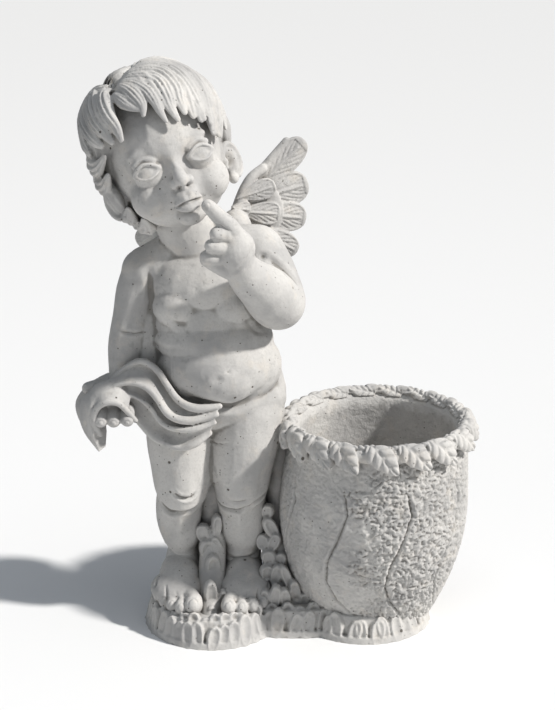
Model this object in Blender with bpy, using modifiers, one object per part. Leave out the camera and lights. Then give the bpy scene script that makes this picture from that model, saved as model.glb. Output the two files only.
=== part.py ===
"""Garden statue of a winged child beside a round planter, cast in one piece on a leafy base.

Metres, +Z up, the front faces -Y. The origin is on the flat underside, midway across the statue.
The child is laid out in body points, which are millimetres at the size given here and are
scaled with FIGURE_HEIGHT. The planter, its garland and the base have their own sizes.
"""

import math

import bmesh
import bpy
import numpy as np
from mathutils import Matrix, Vector

# Driving dimensions, in metres
FIGURE_HEIGHT = 0.556  # from the soles to the top of the hair
BASE_HEIGHT = 0.026  # from the ground to the soles
BASE_BATTER = 0.010  # how far the base widens from its top edge to the ground
POT_RADIUS = 0.092  # outside, at the widest point of the belly
POT_FOOT_RADIUS = 0.050  # outside, at the ground
POT_HEIGHT = 0.216  # from the ground to the top of the rim
POT_WALL = 0.010
POT_FLOOR = 0.022  # thickness of the floor above the base
RIM_ROLL = 0.008  # radius of the roll under the garland
RIM_REACH = 0.090  # from the pot's axis to the middle of the roll
GARLAND_LEAF = (0.036, 0.027, 0.011)  # length, width and thickness of one leaf
PETAL = (0.027, 0.0125, 0.012)  # height, width and thickness of one leaf on the base
POT_LOBE = 0.065  # radius of the base under the pot
POT_LOBE_SHIFT = (-0.012, -0.008)  # from the pot's axis to the middle of that part of the base
POT_BITE = 0.004  # how deep the rim sinks into the child's thigh
POT_FORWARD = -0.004  # the pot's axis, in front of the child's

# Mesh fineness, in metres and triangles
VOXEL = 0.0021
SMOOTH_PASSES = 2
TRIANGLES = 9600

# Body points: the sole's level, and the height that the points were laid out for
SOLE_LEVEL = 26.0
POINTS_TALL = 556.0
POINT = FIGURE_HEIGHT / POINTS_TALL
BODY_MIDDLE_X = -72.0  # the plane between the wings, in body points

# The head's place and turn: it leans to the child's right, looks up and turns a little
HEAD_PLACE = (-106.6, -15.7, 482.7)
HEAD_LEAN, HEAD_LIFT, HEAD_TURN = 18.0, 15.0, 9.0
HAIR_MIDDLE, HAIR_RADII = Vector((0, 6, 14)), Vector((70, 82, 89))

STONE_COLOUR = (0.62, 0.60, 0.57, 1.0)
STONE_ROUGHNESS = 0.85


def at(x, y, z):
    """A body point as a place in metres."""
    return Vector((x * POINT, y * POINT, BASE_HEIGHT + (z - SOLE_LEVEL) * POINT))


def head_matrix():
    """Takes head points, with the front at -Y, to their place in metres."""
    turn = (
        Matrix.Rotation(math.radians(HEAD_TURN), 4, "Z")
        @ Matrix.Rotation(math.radians(-HEAD_LIFT), 4, "X")
        @ Matrix.Rotation(math.radians(-HEAD_LEAN), 4, "Y")
    )
    return Matrix.Translation(at(*HEAD_PLACE)) @ turn @ Matrix.Scale(POINT, 4)


def smooth_route(points, count):
    """count points along a Catmull-Rom curve through the points given."""
    ends = [points[0] * 2 - points[1], *points, points[-1] * 2 - points[-2]]
    route = []
    for i in range(count):
        place = i / (count - 1) * (len(points) - 1)
        k = min(int(place), len(points) - 2)
        t = place - k
        a, b, c, d = ends[k : k + 4]
        route.append(
            (b * 2 + (c - a) * t + (a * 2 - b * 5 + c * 4 - d) * t**2 + (b * 3 - a - c * 3 + d) * t**3) / 2
        )
    return route


# Building forms


def emptied(work):
    """The points and triangles of a bmesh, as arrays. The bmesh is freed."""
    bmesh.ops.triangulate(work, faces=work.faces)
    work.verts.index_update()
    points = np.array([v.co[:] for v in work.verts])
    faces = np.array([[v.index for v in f.verts] for f in work.faces])
    work.free()
    return points, faces


def template(make, **settings):
    """The points and triangles that one bmesh operator makes."""
    work = bmesh.new()
    make(work, **settings)
    return emptied(work)


ROUND = 1.02  # the flats of a faceted round lie inside it, so each is made a little larger
BALL = template(bmesh.ops.create_uvsphere, u_segments=20, v_segments=12, radius=ROUND)
BEAD = template(bmesh.ops.create_icosphere, subdivisions=2, radius=ROUND)
BAR = template(bmesh.ops.create_cone, cap_ends=True, segments=14, radius1=ROUND, radius2=ROUND, depth=2)


class Clay:
    """Forms heaped up before they are fused: points and triangles."""

    def __init__(self):
        self.points = []
        self.faces = []
        self.count = 0

    def add(self, points, faces):
        self.points.append(points)
        self.faces.append(faces + self.count)
        self.count += len(points)

    def turned(self, matrix):
        """Moves everything in it by a matrix."""
        turn = np.array(matrix)
        self.points = [points @ turn[:3, :3].T + turn[:3, 3] for points in self.points]

    def mesh(self, name):
        mesh = bpy.data.meshes.new(name)
        mesh.from_pydata(np.concatenate(self.points).tolist(), [], np.concatenate(self.faces).tolist())
        return mesh


def ball(clay, centre, radii, turn=None):
    """An ellipsoid. radii is one number or three, turn a 3x3 rotation."""
    radii = (radii,) * 3 if isinstance(radii, (int, float)) else radii
    points = BALL[0] * np.array(radii)
    if turn:
        points = points @ np.array(turn).T
    clay.add(points + np.array(centre), BALL[1])


def bone(clay, start, end, start_radius, end_radius):
    """A tapered round bar between two beads."""
    along = end - start
    if along.length > 1e-6:
        turn = np.array(along.to_track_quat("Z", "Y").to_matrix())
        share = (BAR[0][:, 2:] + 1) / 2
        across = BAR[0] * (start_radius + (end_radius - start_radius) * share)
        across[:, 2] = BAR[0][:, 2] * along.length / 2
        clay.add(across @ turn.T + np.array((start + end) / 2), BAR[1])
    for centre, radius in ((start, start_radius), (end, end_radius)):
        clay.add(BEAD[0] * radius + np.array(centre), BEAD[1])


def limb(clay, joints):
    """Bones through (point, radius) pairs."""
    for (start, start_radius), (end, end_radius) in zip(joints, joints[1:]):
        bone(clay, start, end, start_radius, end_radius)


def strand(clay, points, radius, count=9, root=0.6, tip=0.25):
    """A lock, fold or rib: a smooth round bar, full in its middle. root and tip are shares of that."""
    route = smooth_route(points, count)
    joints = []
    for i, place in enumerate(route):
        t = i / (count - 1)
        share = root + (1 - root) * min(1, t * 3) if t < 0.5 else tip + (1 - tip) * min(1, (1 - t) * 2.2)
        joints.append((place, radius * share))
    limb(clay, joints)


def blade(clay, root, tip, face, width, thickness, widest=0.62):
    """A leaf or feather with a rounded end, its flat side towards face. widest is a share of its length."""
    along = (tip - root).normalized()
    normal = (face - along * face.dot(along)).normalized()
    side = along.cross(normal)
    share = ((BALL[0][:, 2] / ROUND + 1) / 2) ** (math.log(widest) / math.log(0.5))
    points = (
        np.outer(BALL[0][:, 0] * width / 2, np.array(side))
        + np.outer(BALL[0][:, 1] * thickness / 2, np.array(normal))
        + np.outer(share * (tip - root).length, np.array(along))
        + np.array(root)
    )
    clay.add(points, BALL[1])


# The child's body


def add_torso(form):
    """Trunk and neck of a plump child, a little wider at the hips than at the chest."""
    for centre, radii in (
        ((-61, 4, 236), (71, 45, 34)),
        ((-57, -8, 274), (62, 46, 43)),
        ((-67, 2, 318), (57, 41, 42)),
        ((-63, -4, 300), (60, 43, 30)),
        ((-71, 3, 356), (59, 41, 42)),
        ((-70, 20, 330), (54, 30, 62)),
        ((-97, -15, 336), (27, 25, 23)),
        ((-47, -15, 336), (27, 25, 23)),
        ((-90, 30, 222), (33, 28, 31)),
        ((-34, 30, 222), (33, 28, 31)),
    ):
        ball(form, at(*centre), [r * POINT for r in radii])
    add_points_limb(form, [(-131, 8, 366, 24), (-84, 8, 388, 25), (-20, 12, 386, 26)])
    add_points_limb(form, [(-80, 8, 384, 28), (-96, 0, 425, 27)])
    add_points_limb(form, [(-26, 10, 322, 14), (-15, 14, 280, 14), (-5, 6, 244, 14)])


def add_points_limb(form, points):
    """A limb from (x, y, z, radius) rows of body points."""
    limb(form, [(at(x, y, z), r * POINT) for x, y, z, r in points])


def add_hanging_arm(form):
    """The child's right arm hangs down, and its hand holds the cloth from below."""
    upper_arm = [(-129, 8, 368, 23), (-141, 6, 338, 20), (-147, 2, 316, 19)]
    forearm = [(-147, 2, 316, 19), (-151, -2, 292, 18), (-154, -10, 264, 14)]
    web = [(-124, 10, 356, 15), (-128, 8, 322, 17), (-130, 4, 292, 18), (-132, 0, 262, 18)]
    for rows in (upper_arm, forearm, web):
        add_points_limb(form, rows)
    ball(form, at(-162, -26, 243), [r * POINT for r in (19, 20, 14)])
    add_points_limb(form, [(-168, -16, 250, 8), (-186, -22, 253, 6)])
    for tip_x in (-175, -162, -148.5):
        root_x = -162 + (tip_x + 162) * 0.8
        add_points_limb(form, [(root_x, -30, 238, 8), (tip_x, -46, 232, 7.2), (tip_x, -52, 226, 6.6)])


def add_raised_arm(form):
    """The child's left arm is bent up in front of the chest, one finger at the corner of the mouth."""
    add_points_limb(
        form,
        [
            (-20, 12, 384, 27),
            (-4, -8, 362, 26),
            (1, -24, 343, 27),
            (-12, -44, 362, 24.5),
            (-31, -66, 384, 18),
            (-36, -74, 398, 17),
        ],
    )
    ball(form, at(-40, -78, 412), [r * POINT for r in (18, 15, 22)])
    add_points_limb(form, [(-42, -82, 432, 9.5), (-52, -88, 445, 8), (-65, -90, 457, 6.2)])
    for root, knuckle in (
        ((-44, -84, 427), (-57, -91, 430)),
        ((-46, -84, 415), (-63, -89, 418.5)),
        ((-50, -80, 403), (-67, -85, 407)),
    ):
        x, y, z = knuckle
        add_points_limb(form, [(*root, 8.5), (x, y, z, 8.2), (x + 4, y + 13, z - 2, 8)])


# Thigh, calf and ankle of the child's right leg, then of the left, as (x, y, z, radius) body points
LEG_ROWS = (
    ((-96, 2, 222, 36.5), (-98, -3, 196, 35), (-97, -4, 170, 32.5), (-97, -7, 148, 29), (-97, -7, 138, 24.5)),
    ((-99, -1, 132, 24.5), (-101, 1, 116, 24), (-101, 3, 102, 23), (-99, 2, 90, 21), (-99, 2, 85, 18.5)),
    ((-99, 4, 88, 15.5), (-98, 4, 71, 15.5), (-97, 4, 52, 17.5)),
    ((-30, 2, 222, 38), (-32, -3, 196, 36), (-36, -5, 170, 33), (-37, -7, 148, 28.5), (-38, -7, 139, 24.5)),
    ((-37, -1, 132, 24.5), (-36, 1, 116, 25), (-35, 3, 102, 25.5), (-35, 3, 92, 24), (-35, 3, 86, 21)),
    ((-36, 4, 88, 19), (-36, 4, 71, 19), (-36, 4, 50, 21)),
)
KNEECAPS = ((-97, -22, 147), (-39, -22, 145))

# Each toe's end and radius as (x, y, radius) body points, the big toe first
RIGHT_TOES = ((-86.5, -70, 7.4), (-98, -72, 6.2), (-107.5, -69, 5.9), (-116, -62, 5.6), (-123, -52, 5.2))
LEFT_TOES = ((-49.5, -70, 7.4), (-38, -72, 6.2), (-28.5, -69, 5.9), (-20, -62, 5.6), (-13, -52, 5.2))


def add_legs(form):
    """Two short legs: the thigh hangs over the calf at the knee, and the calf over the ankle."""
    for rows in LEG_ROWS:
        add_points_limb(form, rows)
    for kneecap in KNEECAPS:
        ball(form, at(*kneecap), [r * POINT for r in (18, 12, 15)])


def add_foot(form, heel_x, spread, toes):
    """A fat foot pointing forwards. toes are (x, y, radius) of each toe's end, the big toe first."""
    ball(form, at(heel_x, 15, 42), 18 * POINT)
    arch = Matrix.Rotation(math.radians(24), 3, "X")
    ball(form, at(heel_x + spread / 2, -20, 46), [r * POINT for r in (21, 39, 20)], arch)
    ball(form, at(heel_x + spread, -38, 41), [r * POINT for r in (27.5, 22, 15.5)])
    drop = Matrix.Rotation(math.radians(20), 3, "X")
    for x, y, radius in toes:
        ball(form, at(x, y + 11, 38), [r * POINT for r in (radius * 0.92, 11, radius * 1.6)], drop)
        tip_height = SOLE_LEVEL + radius * 1.35
        ball(form, at(x, y + 3.5, tip_height), [radius * r * POINT for r in (0.96, 1.25, 1.5)])


def add_feet(form):
    add_foot(form, -97, -7, RIGHT_TOES)
    add_foot(form, -35, 3, LEFT_TOES)


# The head, in head points: the front at -Y, the eyes near the level of 0

LID_RADIUS = 2.2
EAR_RIM_RADIUS = 3.2
LIPS = (
    ((-15, -57, -41, 3), (0, -65, -38, 4.6), (15, -57, -41, 3)),
    ((-12, -57, -43, 3), (0, -64, -46, 5), (12, -57, -43, 3)),
)


def add_face(form):
    """A calm child's face with full cheeks, a small nose, closed lips and plain rimmed eyes."""
    for centre, radii in (
        ((0, 6, 14), (57, 67, 75)),
        ((0, -14, -27), (46, 43, 37)),
        ((0, -20, 26), (47, 39, 36)),
        ((0, -47, -54), (15, 13, 11)),
        ((0, -67, -21), (8, 8, 7)),
        ((0, -58, -36), (13, 9, 9)),
    ):
        ball(form, Vector(centre), radii)
    bone(form, Vector((0, -55, 0)), Vector((0, -65, -18)), 5, 7)
    for lip in LIPS:
        limb(form, [(Vector(place), radius) for *place, radius in lip])
    for side in (-1, 1):
        ball(form, Vector((side * 27, -34, -29)), (20, 20, 19))
        ball(form, Vector((side * 7.5, -62, -23)), (5, 6, 5))
        ball(form, Vector((side * 25, -48, -4)), (12, 10.5, 10))
        add_eye_rim(form, side)
        add_ear(form, side)


def add_eye_rim(form, side):
    """The raised edge of the lids, an almond round the eyeball."""
    almond = []
    for step in range(13):
        angle = math.tau * step / 12
        x = 25 + 14.5 * math.cos(angle)
        y = -57.5 + 7 * ((x - 12) / 30) ** 2
        almond.append(Vector((side * x, y, -4 + 10 * math.sin(angle))))
    limb(form, [(place, LID_RADIUS) for place in almond])


def add_ear(form, side):
    """A thick rim, open to the front, over a flat bowl and a lobe."""
    ball(form, Vector((side * 57, 2, -14)), (6, 10, 16))
    rim = []
    for step in range(9):
        angle = math.radians(-70 + 260 * step / 8)
        across, up = math.cos(angle), math.sin(angle)
        rim.append(Vector((side * (61 + 2 * across), 2 + 11 * across, -13 + 17 * up)))
    limb(form, [(place, EAR_RIM_RADIUS) for place in rim])
    ball(form, Vector((side * 59, -2, -29)), (5, 6, 6))


# Locks of hair as (longitude, latitude) on the hair's oval, from the parting to the tip.
# Longitude 0 is over the nose and 90 over the child's left ear.
FRINGE = (
    (((-25, 53), (0, 49), (11, 37), (9, 25), (15, 12)), 8.5),
    (((-20, 42), (-8, 33), (-3, 23), (3, 14)), 6.5),
    (((-18, 61), (14, 54), (22, 39), (19, 26), (15, 13)), 8.5),
    (((-5, 67), (30, 54), (32, 37), (29, 22), (38, 6)), 9),
    (((10, 40), (20, 30), (23, 18), (33, 7)), 7.5),
    (((20, 70), (50, 52), (53, 34), (50, 20), (42, 7)), 9),
    (((50, 68), (76, 47), (73, 28), (61, 12), (52, -4)), 8.5),
    (((75, 58), (86, 40), (84, 20), (74, 4), (76, -8)), 8),
    (((-37, 54), (-30, 40), (-17, 34), (-12, 23)), 7),
    (((-43, 55), (-56, 45), (-57, 31), (-47, 22), (-36, 12)), 8.5),
    (((-48, 56), (-78, 48), (-74, 33), (-60, 21), (-42, 10)), 8.5),
    (((-55, 58), (-92, 46), (-93, 33), (-84, 20), (-60, 7)), 12.5),
    (((-70, 58), (-105, 44), (-108, 28), (-98, 12), (-82, 4)), 13.5),
)
SIDE_CURLS = (
    ((-104, 12), (-108, 0), (-96, -6), (-84, -2)),
    ((-104, -4), (-112, -16), (-98, -24), (-86, -18)),
    ((-112, -22), (-118, -34), (-102, -42), (-90, -36)),
    ((-110, -38), (-112, -50), (-96, -60), (-76, -58)),
    ((104, 6), (112, -8), (100, -18), (88, -14)),
    ((112, -14), (120, -28), (106, -38), (94, -32)),
)
CURL_RADIUS = 9.5
NAPE_CURL = ((-49, 27, -52), (-51, 22, -66), (-42, 20, -78), (-31, 16, -80))  # in head points
BACK_LOCKS = 11  # in each of the rows down the back of the head
BACK_ROWS = ((74, 30, 9.5), (36, -6, 9.5), (0, -40, 9))  # top and bottom latitude, and radius


def on_hair(longitude, latitude, sink):
    """A head point on the hair's oval, sink under its surface."""
    lon, lat = math.radians(longitude), math.radians(latitude)
    radii = HAIR_RADII - Vector((sink,) * 3)
    way = Vector((math.cos(lat) * math.sin(lon), -math.cos(lat) * math.cos(lon), math.sin(lat)))
    return HAIR_MIDDLE + Vector(r * w for r, w in zip(radii, way))


def add_hair(form):
    """A cap of hair under thick wavy locks that fall from a parting on the child's right."""
    ball(form, Vector((0, 17, 25)), (63, 68, 70))
    ball(form, Vector((0, 24, -14)), (58, 52, 50))
    for path, radius in FRINGE:
        strand(form, [on_hair(lon, lat, radius * 0.4) for lon, lat in path], radius, tip=0.3)
    for path in SIDE_CURLS:
        strand(form, [on_hair(lon, lat, 5) for lon, lat in path], CURL_RADIUS, tip=0.5)
    strand(form, [Vector(place) for place in NAPE_CURL], CURL_RADIUS, tip=0.6)
    for row, (top, bottom, radius) in enumerate(BACK_ROWS):
        for i in range(BACK_LOCKS):
            lon = 100 + 160 * (i + 0.5 * (row % 2)) / (BACK_LOCKS - 1)
            swing = 7 if i % 2 else -7
            upper, lower = (top * 2 + bottom) / 3, (top + bottom * 2) / 3
            path = [(lon, top), (lon + swing, upper), (lon - swing, lower), (lon, bottom)]
            strand(form, [on_hair(a, b, radius * 0.6) for a, b in path], radius, count=7, tip=0.4)


def add_head(form):
    head = Clay()
    add_face(head)
    add_hair(head)
    head.turned(head_matrix())
    form.add(np.concatenate(head.points), np.concatenate(head.faces))


# Cloth, in body points: the crests of its folds from the hand to the groin
FOLD_CRESTS = (
    (
        (-147, -30, 270),
        (-132, -36, 279),
        (-116, -38, 274),
        (-104, -42, 256),
        (-94, -48, 243),
        (-80, -53, 238),
        (-63, -53, 244),
    ),
    (
        (-170, -34, 247),
        (-148, -42, 257),
        (-130, -44, 257),
        (-118, -44, 247),
        (-110, -47, 236),
        (-96, -53, 229),
        (-64, -54, 238),
    ),
    (
        (-166, -38, 246),
        (-146, -40, 248),
        (-131, -42, 242),
        (-121, -44, 230),
        (-108, -50, 222),
        (-92, -54, 219),
        (-63, -54, 233),
    ),
    (
        (-164, -36, 240),
        (-150, -38, 232),
        (-136, -40, 220),
        (-122, -42, 208),
        (-104, -48, 202),
        (-84, -52, 203),
        (-66, -50, 226),
    ),
)
CREST_RADIUS = 6.5
HAND_LOOP = (
    (-160, -42, 250),
    (-171, -46, 245),
    (-181, -46, 237),
    (-186, -46, 225),
    (-184, -46, 210),
    (-178, -44, 193),
)
HAND_FALL = ((-170, -24, 246), (-188, -24, 240), (-193, -24, 229), (-187, -26, 215), (-178, -30, 205))
BACK_FALL = ((-150, -20, 268), (-168, -12, 256), (-172, -4, 238), (-166, 4, 222))


def add_cloth(form):
    """A cloth caught in the hanging hand and drawn across the hip to the groin in four deep folds."""
    crests = [[at(*p) for p in crest] for crest in FOLD_CRESTS]
    for crest in crests:
        strand(form, crest, CREST_RADIUS * POINT, count=15, root=0.8, tip=0.6)
    sunk = Vector((0, 7 * POINT, 0))
    for upper, lower in zip(crests, crests[1:]):
        valley = [(a + b) / 2 + sunk for a, b in zip(upper, lower)]
        strand(form, valley, 8 * POINT, count=15, root=0.8, tip=0.6)
    strand(form, [at(*p) for p in HAND_LOOP], 8.5 * POINT, count=13, root=0.8, tip=0.35)
    strand(form, [at(*p) for p in HAND_FALL], 9 * POINT, count=13, root=0.8, tip=0.4)
    strand(form, [at(*p) for p in BACK_FALL], 12 * POINT, count=9, root=0.8, tip=0.4)


# Wings, in body points, for the child's left wing: (root, tip, width)
FLIGHT_FEATHERS = (
    ((-40, 60, 422), (31, 76, 485), 29),
    ((-34, 60, 424), (31, 76, 438), 33),
    ((-32, 59, 414), (29, 74, 404), 29),
    ((-28, 57, 402), (20, 69, 372), 24),
)
COVERT_FEATHERS = (
    ((-42, 52, 430), (-3, 62, 441), 19),
    ((-40, 50, 418), (2, 62, 412), 22),
    ((-46, 46, 424), (-30, 52, 420), 14),
    ((-46, 44, 410), (-34, 50, 404), 14),
    ((-36, 50, 398), (-2, 60, 388), 18),
)
WING_ARM = ((-46, 44, 424, 9), (-32, 54, 443, 8), (-14, 64, 452, 7.5), (6, 72, 474, 6))
HIDDEN_SWING = 32  # degrees that the child's right wing is folded further back
FEATHER_THICK = 9


def add_wing(form, mirrored):
    """Four flight feathers and a row of coverts behind a thick leading edge."""

    def place(x, y, z):
        if not mirrored:
            return at(x, y, z)
        root_x, root_y = WING_ARM[0][:2]
        away = Matrix.Rotation(math.radians(HIDDEN_SWING), 2) @ Vector((x - root_x, y - root_y))
        return at(2 * BODY_MIDDLE_X - root_x - away.x, root_y + away.y, z)

    forwards = Vector((0, -1, 0))
    for layer, feathers in enumerate((FLIGHT_FEATHERS, COVERT_FEATHERS)):
        for root, tip, width in feathers:
            thickness = (FEATHER_THICK - 2 * layer) * POINT
            blade(form, place(*root), place(*tip), forwards, width * POINT, thickness, widest=0.7)
    limb(form, [(place(x, y, z), r * POINT) for x, y, z, r in WING_ARM])
    ball(form, place(-40, 34, 410), [r * POINT for r in (18, 22, 26)])
    ball(form, place(-16, 58, 414), [r * POINT for r in (24, 7, 30)])


# The planter


def pot_axis():
    """The pot stands where its rim just sinks into the outside of the child's left thigh."""
    thigh_outside = at(7, 0, 0).x
    return Vector((thigh_outside + RIM_REACH + RIM_ROLL - POT_BITE, POT_FORWARD, 0))


def pot_profile():
    """(radius, height) pairs of the outside, from the foot to the rim."""
    belly_height = POT_HEIGHT * 0.60
    rows = []
    for step in range(9):
        t = step / 8
        swell = math.sin(math.pi / 2 * t) ** 0.85
        rows.append((POT_FOOT_RADIUS + (POT_RADIUS - POT_FOOT_RADIUS) * swell, belly_height * t))
    neck_radius = RIM_REACH - 0.001
    neck_height = POT_HEIGHT - RIM_ROLL
    for step in range(1, 5):
        t = step / 4
        radius = POT_RADIUS + (neck_radius - POT_RADIUS) * t**2
        rows.append((radius, belly_height + (neck_height - belly_height) * t))
    return rows


def add_pot(form):
    """A hollow round pot with walls of one thickness, open at the top."""
    outside = pot_profile()
    inside = [(r - POT_WALL, z) for r, z in outside if z > BASE_HEIGHT + POT_FLOOR]
    floor_height = BASE_HEIGHT + POT_FLOOR
    floor_radius = inside[0][0] - POT_WALL / 2
    section = [(0, 0), *outside, *reversed(inside), (floor_radius, floor_height), (0, floor_height)]
    axis = pot_axis()
    work = bmesh.new()
    line = [work.verts.new(axis + Vector((r, 0, z))) for r, z in section]
    edges = [work.edges.new(pair) for pair in zip(line, line[1:])]
    profile = line + edges
    upright = (0, 0, 1)
    bmesh.ops.spin(work, geom=profile, cent=axis, axis=upright, angle=math.tau, steps=72, use_merge=True)
    bmesh.ops.remove_doubles(work, verts=work.verts, dist=1e-6)
    bmesh.ops.recalc_face_normals(work, faces=work.faces)
    form.add(*emptied(work))


def rim_place(angle, lift=0.0, drop=0.0):
    """A place on the rim's roll at this angle, lift out from its middle and drop below it."""
    reach = RIM_REACH + lift
    height = POT_HEIGHT - RIM_ROLL - drop
    return pot_axis() + Vector((reach * math.cos(angle), reach * math.sin(angle), height))


def add_garland(form):
    """A roll round the mouth, under a garland of leaves that overlap and hang a little below it."""
    around = [rim_place(math.tau * i / 48) for i in range(49)]
    limb(form, [(place, RIM_ROLL) for place in around])
    length, width, thickness = GARLAND_LEAF
    count = round(math.tau * RIM_REACH / (width * 1.05))
    for i in range(count):
        angle = math.tau * i / count
        out = Vector((math.cos(angle), math.sin(angle), 0))
        root = rim_place(angle - 0.3 * length / RIM_REACH, lift=RIM_ROLL * 0.1, drop=-RIM_ROLL * 0.8)
        tip = rim_place(angle + 0.3 * length / RIM_REACH, lift=RIM_ROLL * 0.75, drop=RIM_ROLL * 2.3)
        blade(form, root, tip, out + Vector((0, 0, 0.3)), width, thickness, widest=0.45)


# Base and foliage

CHILD_LOBE = (-67, -16, 66, 74)  # middle and half sizes of the base under the child, in body points


def base_lobes():
    """(middle, half width, half depth) of the two lobes of the base and of the waist between them."""
    x, y, half_wide, half_deep = (n * POINT for n in CHILD_LOBE)
    axis = pot_axis()
    child = (Vector((x, y, 0)), half_wide, half_deep)
    pot = (axis + Vector((*POT_LOBE_SHIFT, 0)), POT_LOBE, POT_LOBE)
    waist = (Vector(((x + axis.x) / 2, POT_LOBE_SHIFT[1], 0)), (axis.x - x) / 2, POT_LOBE * 0.78)
    return child, waist, pot


def add_base(form):
    """A low slab with a lobe under the child and one under the pot. It is cut flat at the ground later."""
    below = 0.008
    for middle, half_wide, half_deep in base_lobes():
        slab = template(
            bmesh.ops.create_cone,
            cap_ends=True,
            segments=48,
            radius1=1,
            radius2=1 - BASE_BATTER / half_deep,
            depth=BASE_HEIGHT + below,
        )
        lift = middle + Vector((0, 0, (BASE_HEIGHT - below) / 2))
        form.add(slab[0] * np.array((half_wide, half_deep, 1)) + np.array(lift), slab[1])


def inside_lobes(place, skip):
    """True where the place lies well inside a lobe other than the one at index skip."""
    for index, (middle, half_wide, half_deep) in enumerate(base_lobes()):
        away = place - middle
        if index != skip and math.hypot(away.x / half_wide, away.y / half_deep) < 0.97:
            return True
    return False


def add_petals(form):
    """Upright rounded leaves, side by side along the whole edge of the base."""
    height, width, thickness = PETAL
    for index, (middle, half_wide, half_deep) in enumerate(base_lobes()):
        count = round(math.pi * (half_wide + half_deep) / (width * 1.18))
        for i in range(count):
            angle = math.tau * i / count
            out = Vector((math.cos(angle) * half_wide, math.sin(angle) * half_deep, 0))
            edge = middle + out
            if inside_lobes(edge, index):
                continue
            outwards = Vector((math.cos(angle) / half_wide, math.sin(angle) / half_deep, 0)).normalized()
            tall = height * (1.0 + 0.10 * math.sin(2.4 * i))
            root = edge + outwards * BASE_BATTER * 0.3 + Vector((0, 0, -0.5 * height))
            tip = edge - outwards * BASE_BATTER * 0.6 + Vector((0, 0, tall))
            blade(form, root, tip, outwards, width, thickness)


# Leaves between the legs, and knobs between the leg and the pot, in body points: (x, y, z, height, width)
LEG_LEAVES = (
    (-62, -4, 92, 26, 13),
    (-73, -6, 80, 28, 15),
    (-68, -10, 62, 24, 20),
    (-66, -14, 44, 30, 13),
    (-67, -40, 32, 34, 13),
)
KNOBS = (
    (-3, -2, 112, 9),
    (-5, -8, 94, 8.5),
    (-2, -14, 80, 8),
    (-4, -20, 66, 8),
    (1, -24, 54, 8),
    (12, -26, 46, 8),
    (20, -34, 38, 8),
)


def add_foliage(form):
    """Stumps that tie the legs to each other and to the pot, dressed with leaves and knobs."""
    add_points_limb(form, [(-66, 18, 30, 24), (-66, 18, 120, 17), (-65, 18, 215, 18)])
    add_points_limb(form, [(10, 14, 30, 26), (5, 14, 70, 20), (1, 14, 120, 14), (4, 14, 196, 10)])
    for x, y, z, tall, width in LEG_LEAVES:
        root, tip = at(x, y, z - tall / 2), at(x, y - 3, z + tall / 2)
        blade(form, root, tip, Vector((0, -1, 0.2)), width * POINT, 8 * POINT)
    for x, y, z, radius in KNOBS:
        ball(form, at(x, y, z), radius * POINT)


# One casting


def evaluated_copy(obj):
    """The object's mesh with its modifiers applied."""
    bpy.context.view_layer.update()
    graph = bpy.context.evaluated_depsgraph_get()
    return bpy.data.meshes.new_from_object(obj.evaluated_get(graph))


def fused(form, name):
    """The forms grown into one skin, smoothed, thinned out, and cut flat at the ground."""
    obj = bpy.data.objects.new(name, form.mesh(name))
    bpy.context.scene.collection.objects.link(obj)
    remesh = obj.modifiers.new("one skin", "REMESH")
    remesh.mode = "VOXEL"
    remesh.voxel_size = VOXEL
    smooth = obj.modifiers.new("soften", "SMOOTH")
    smooth.factor = 0.5
    smooth.iterations = round(SMOOTH_PASSES)
    obj.data = evaluated_copy(obj)
    obj.modifiers.clear()
    thin = obj.modifiers.new("thin out", "DECIMATE")
    thin.ratio = TRIANGLES / (2 * len(obj.data.polygons))
    obj.data = evaluated_copy(obj)
    obj.modifiers.clear()
    flatten_pot_floor(obj.data)
    cut_flat(obj.data)
    return obj


def flatten_pot_floor(mesh):
    """Levels the floor inside the pot, so that a flower pot stands on it without rocking."""
    axis = pot_axis()
    level = BASE_HEIGHT + POT_FLOOR
    reach = POT_FOOT_RADIUS
    for vertex in mesh.vertices:
        away = math.hypot(vertex.co.x - axis.x, vertex.co.y - axis.y)
        if away < reach and abs(vertex.co.z - level) < VOXEL:
            vertex.co.z = level


def cut_flat(mesh):
    """Cuts away what is below the ground and closes the cut with one flat face."""
    work = bmesh.new()
    work.from_mesh(mesh)
    cut = bmesh.ops.bisect_plane(
        work,
        geom=work.verts[:] + work.edges[:] + work.faces[:],
        plane_co=(0, 0, 0),
        plane_no=(0, 0, -1),
        clear_outer=True,
    )
    rim = [e for e in cut["geom_cut"] if isinstance(e, bmesh.types.BMEdge)]
    bmesh.ops.triangle_fill(work, use_beauty=True, edges=rim)
    bmesh.ops.triangulate(work, faces=work.faces)
    bmesh.ops.recalc_face_normals(work, faces=work.faces)
    work.to_mesh(mesh)
    work.free()


def stone():
    """Pale cast stone, dull all over."""
    material = bpy.data.materials.new("cast_stone")
    material.use_nodes = True
    shader = material.node_tree.nodes["Principled BSDF"]
    shader.inputs["Base Color"].default_value = STONE_COLOUR
    shader.inputs["Roughness"].default_value = STONE_ROUGHNESS
    shader.inputs["Metallic"].default_value = 0.0
    return material


def build():
    for old in list(bpy.data.objects):
        bpy.data.objects.remove(old)
    form = Clay()
    add_pot(form)
    add_garland(form)
    add_base(form)
    add_petals(form)
    add_foliage(form)
    add_torso(form)
    add_legs(form)
    add_feet(form)
    add_hanging_arm(form)
    add_raised_arm(form)
    add_head(form)
    add_cloth(form)
    add_wing(form, mirrored=False)
    add_wing(form, mirrored=True)
    statue = fused(form, "statue")
    statue.data.materials.append(stone())
    statue.data.shade_smooth()
    collection = bpy.data.collections.new("cherub_planter_statue")
    bpy.context.scene.collection.children.link(collection)
    bpy.context.scene.collection.objects.unlink(statue)
    collection.objects.link(statue)


build()
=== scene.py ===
import math

import bmesh
import bpy
import numpy as np
from mathutils import Matrix, Vector, noise


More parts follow.
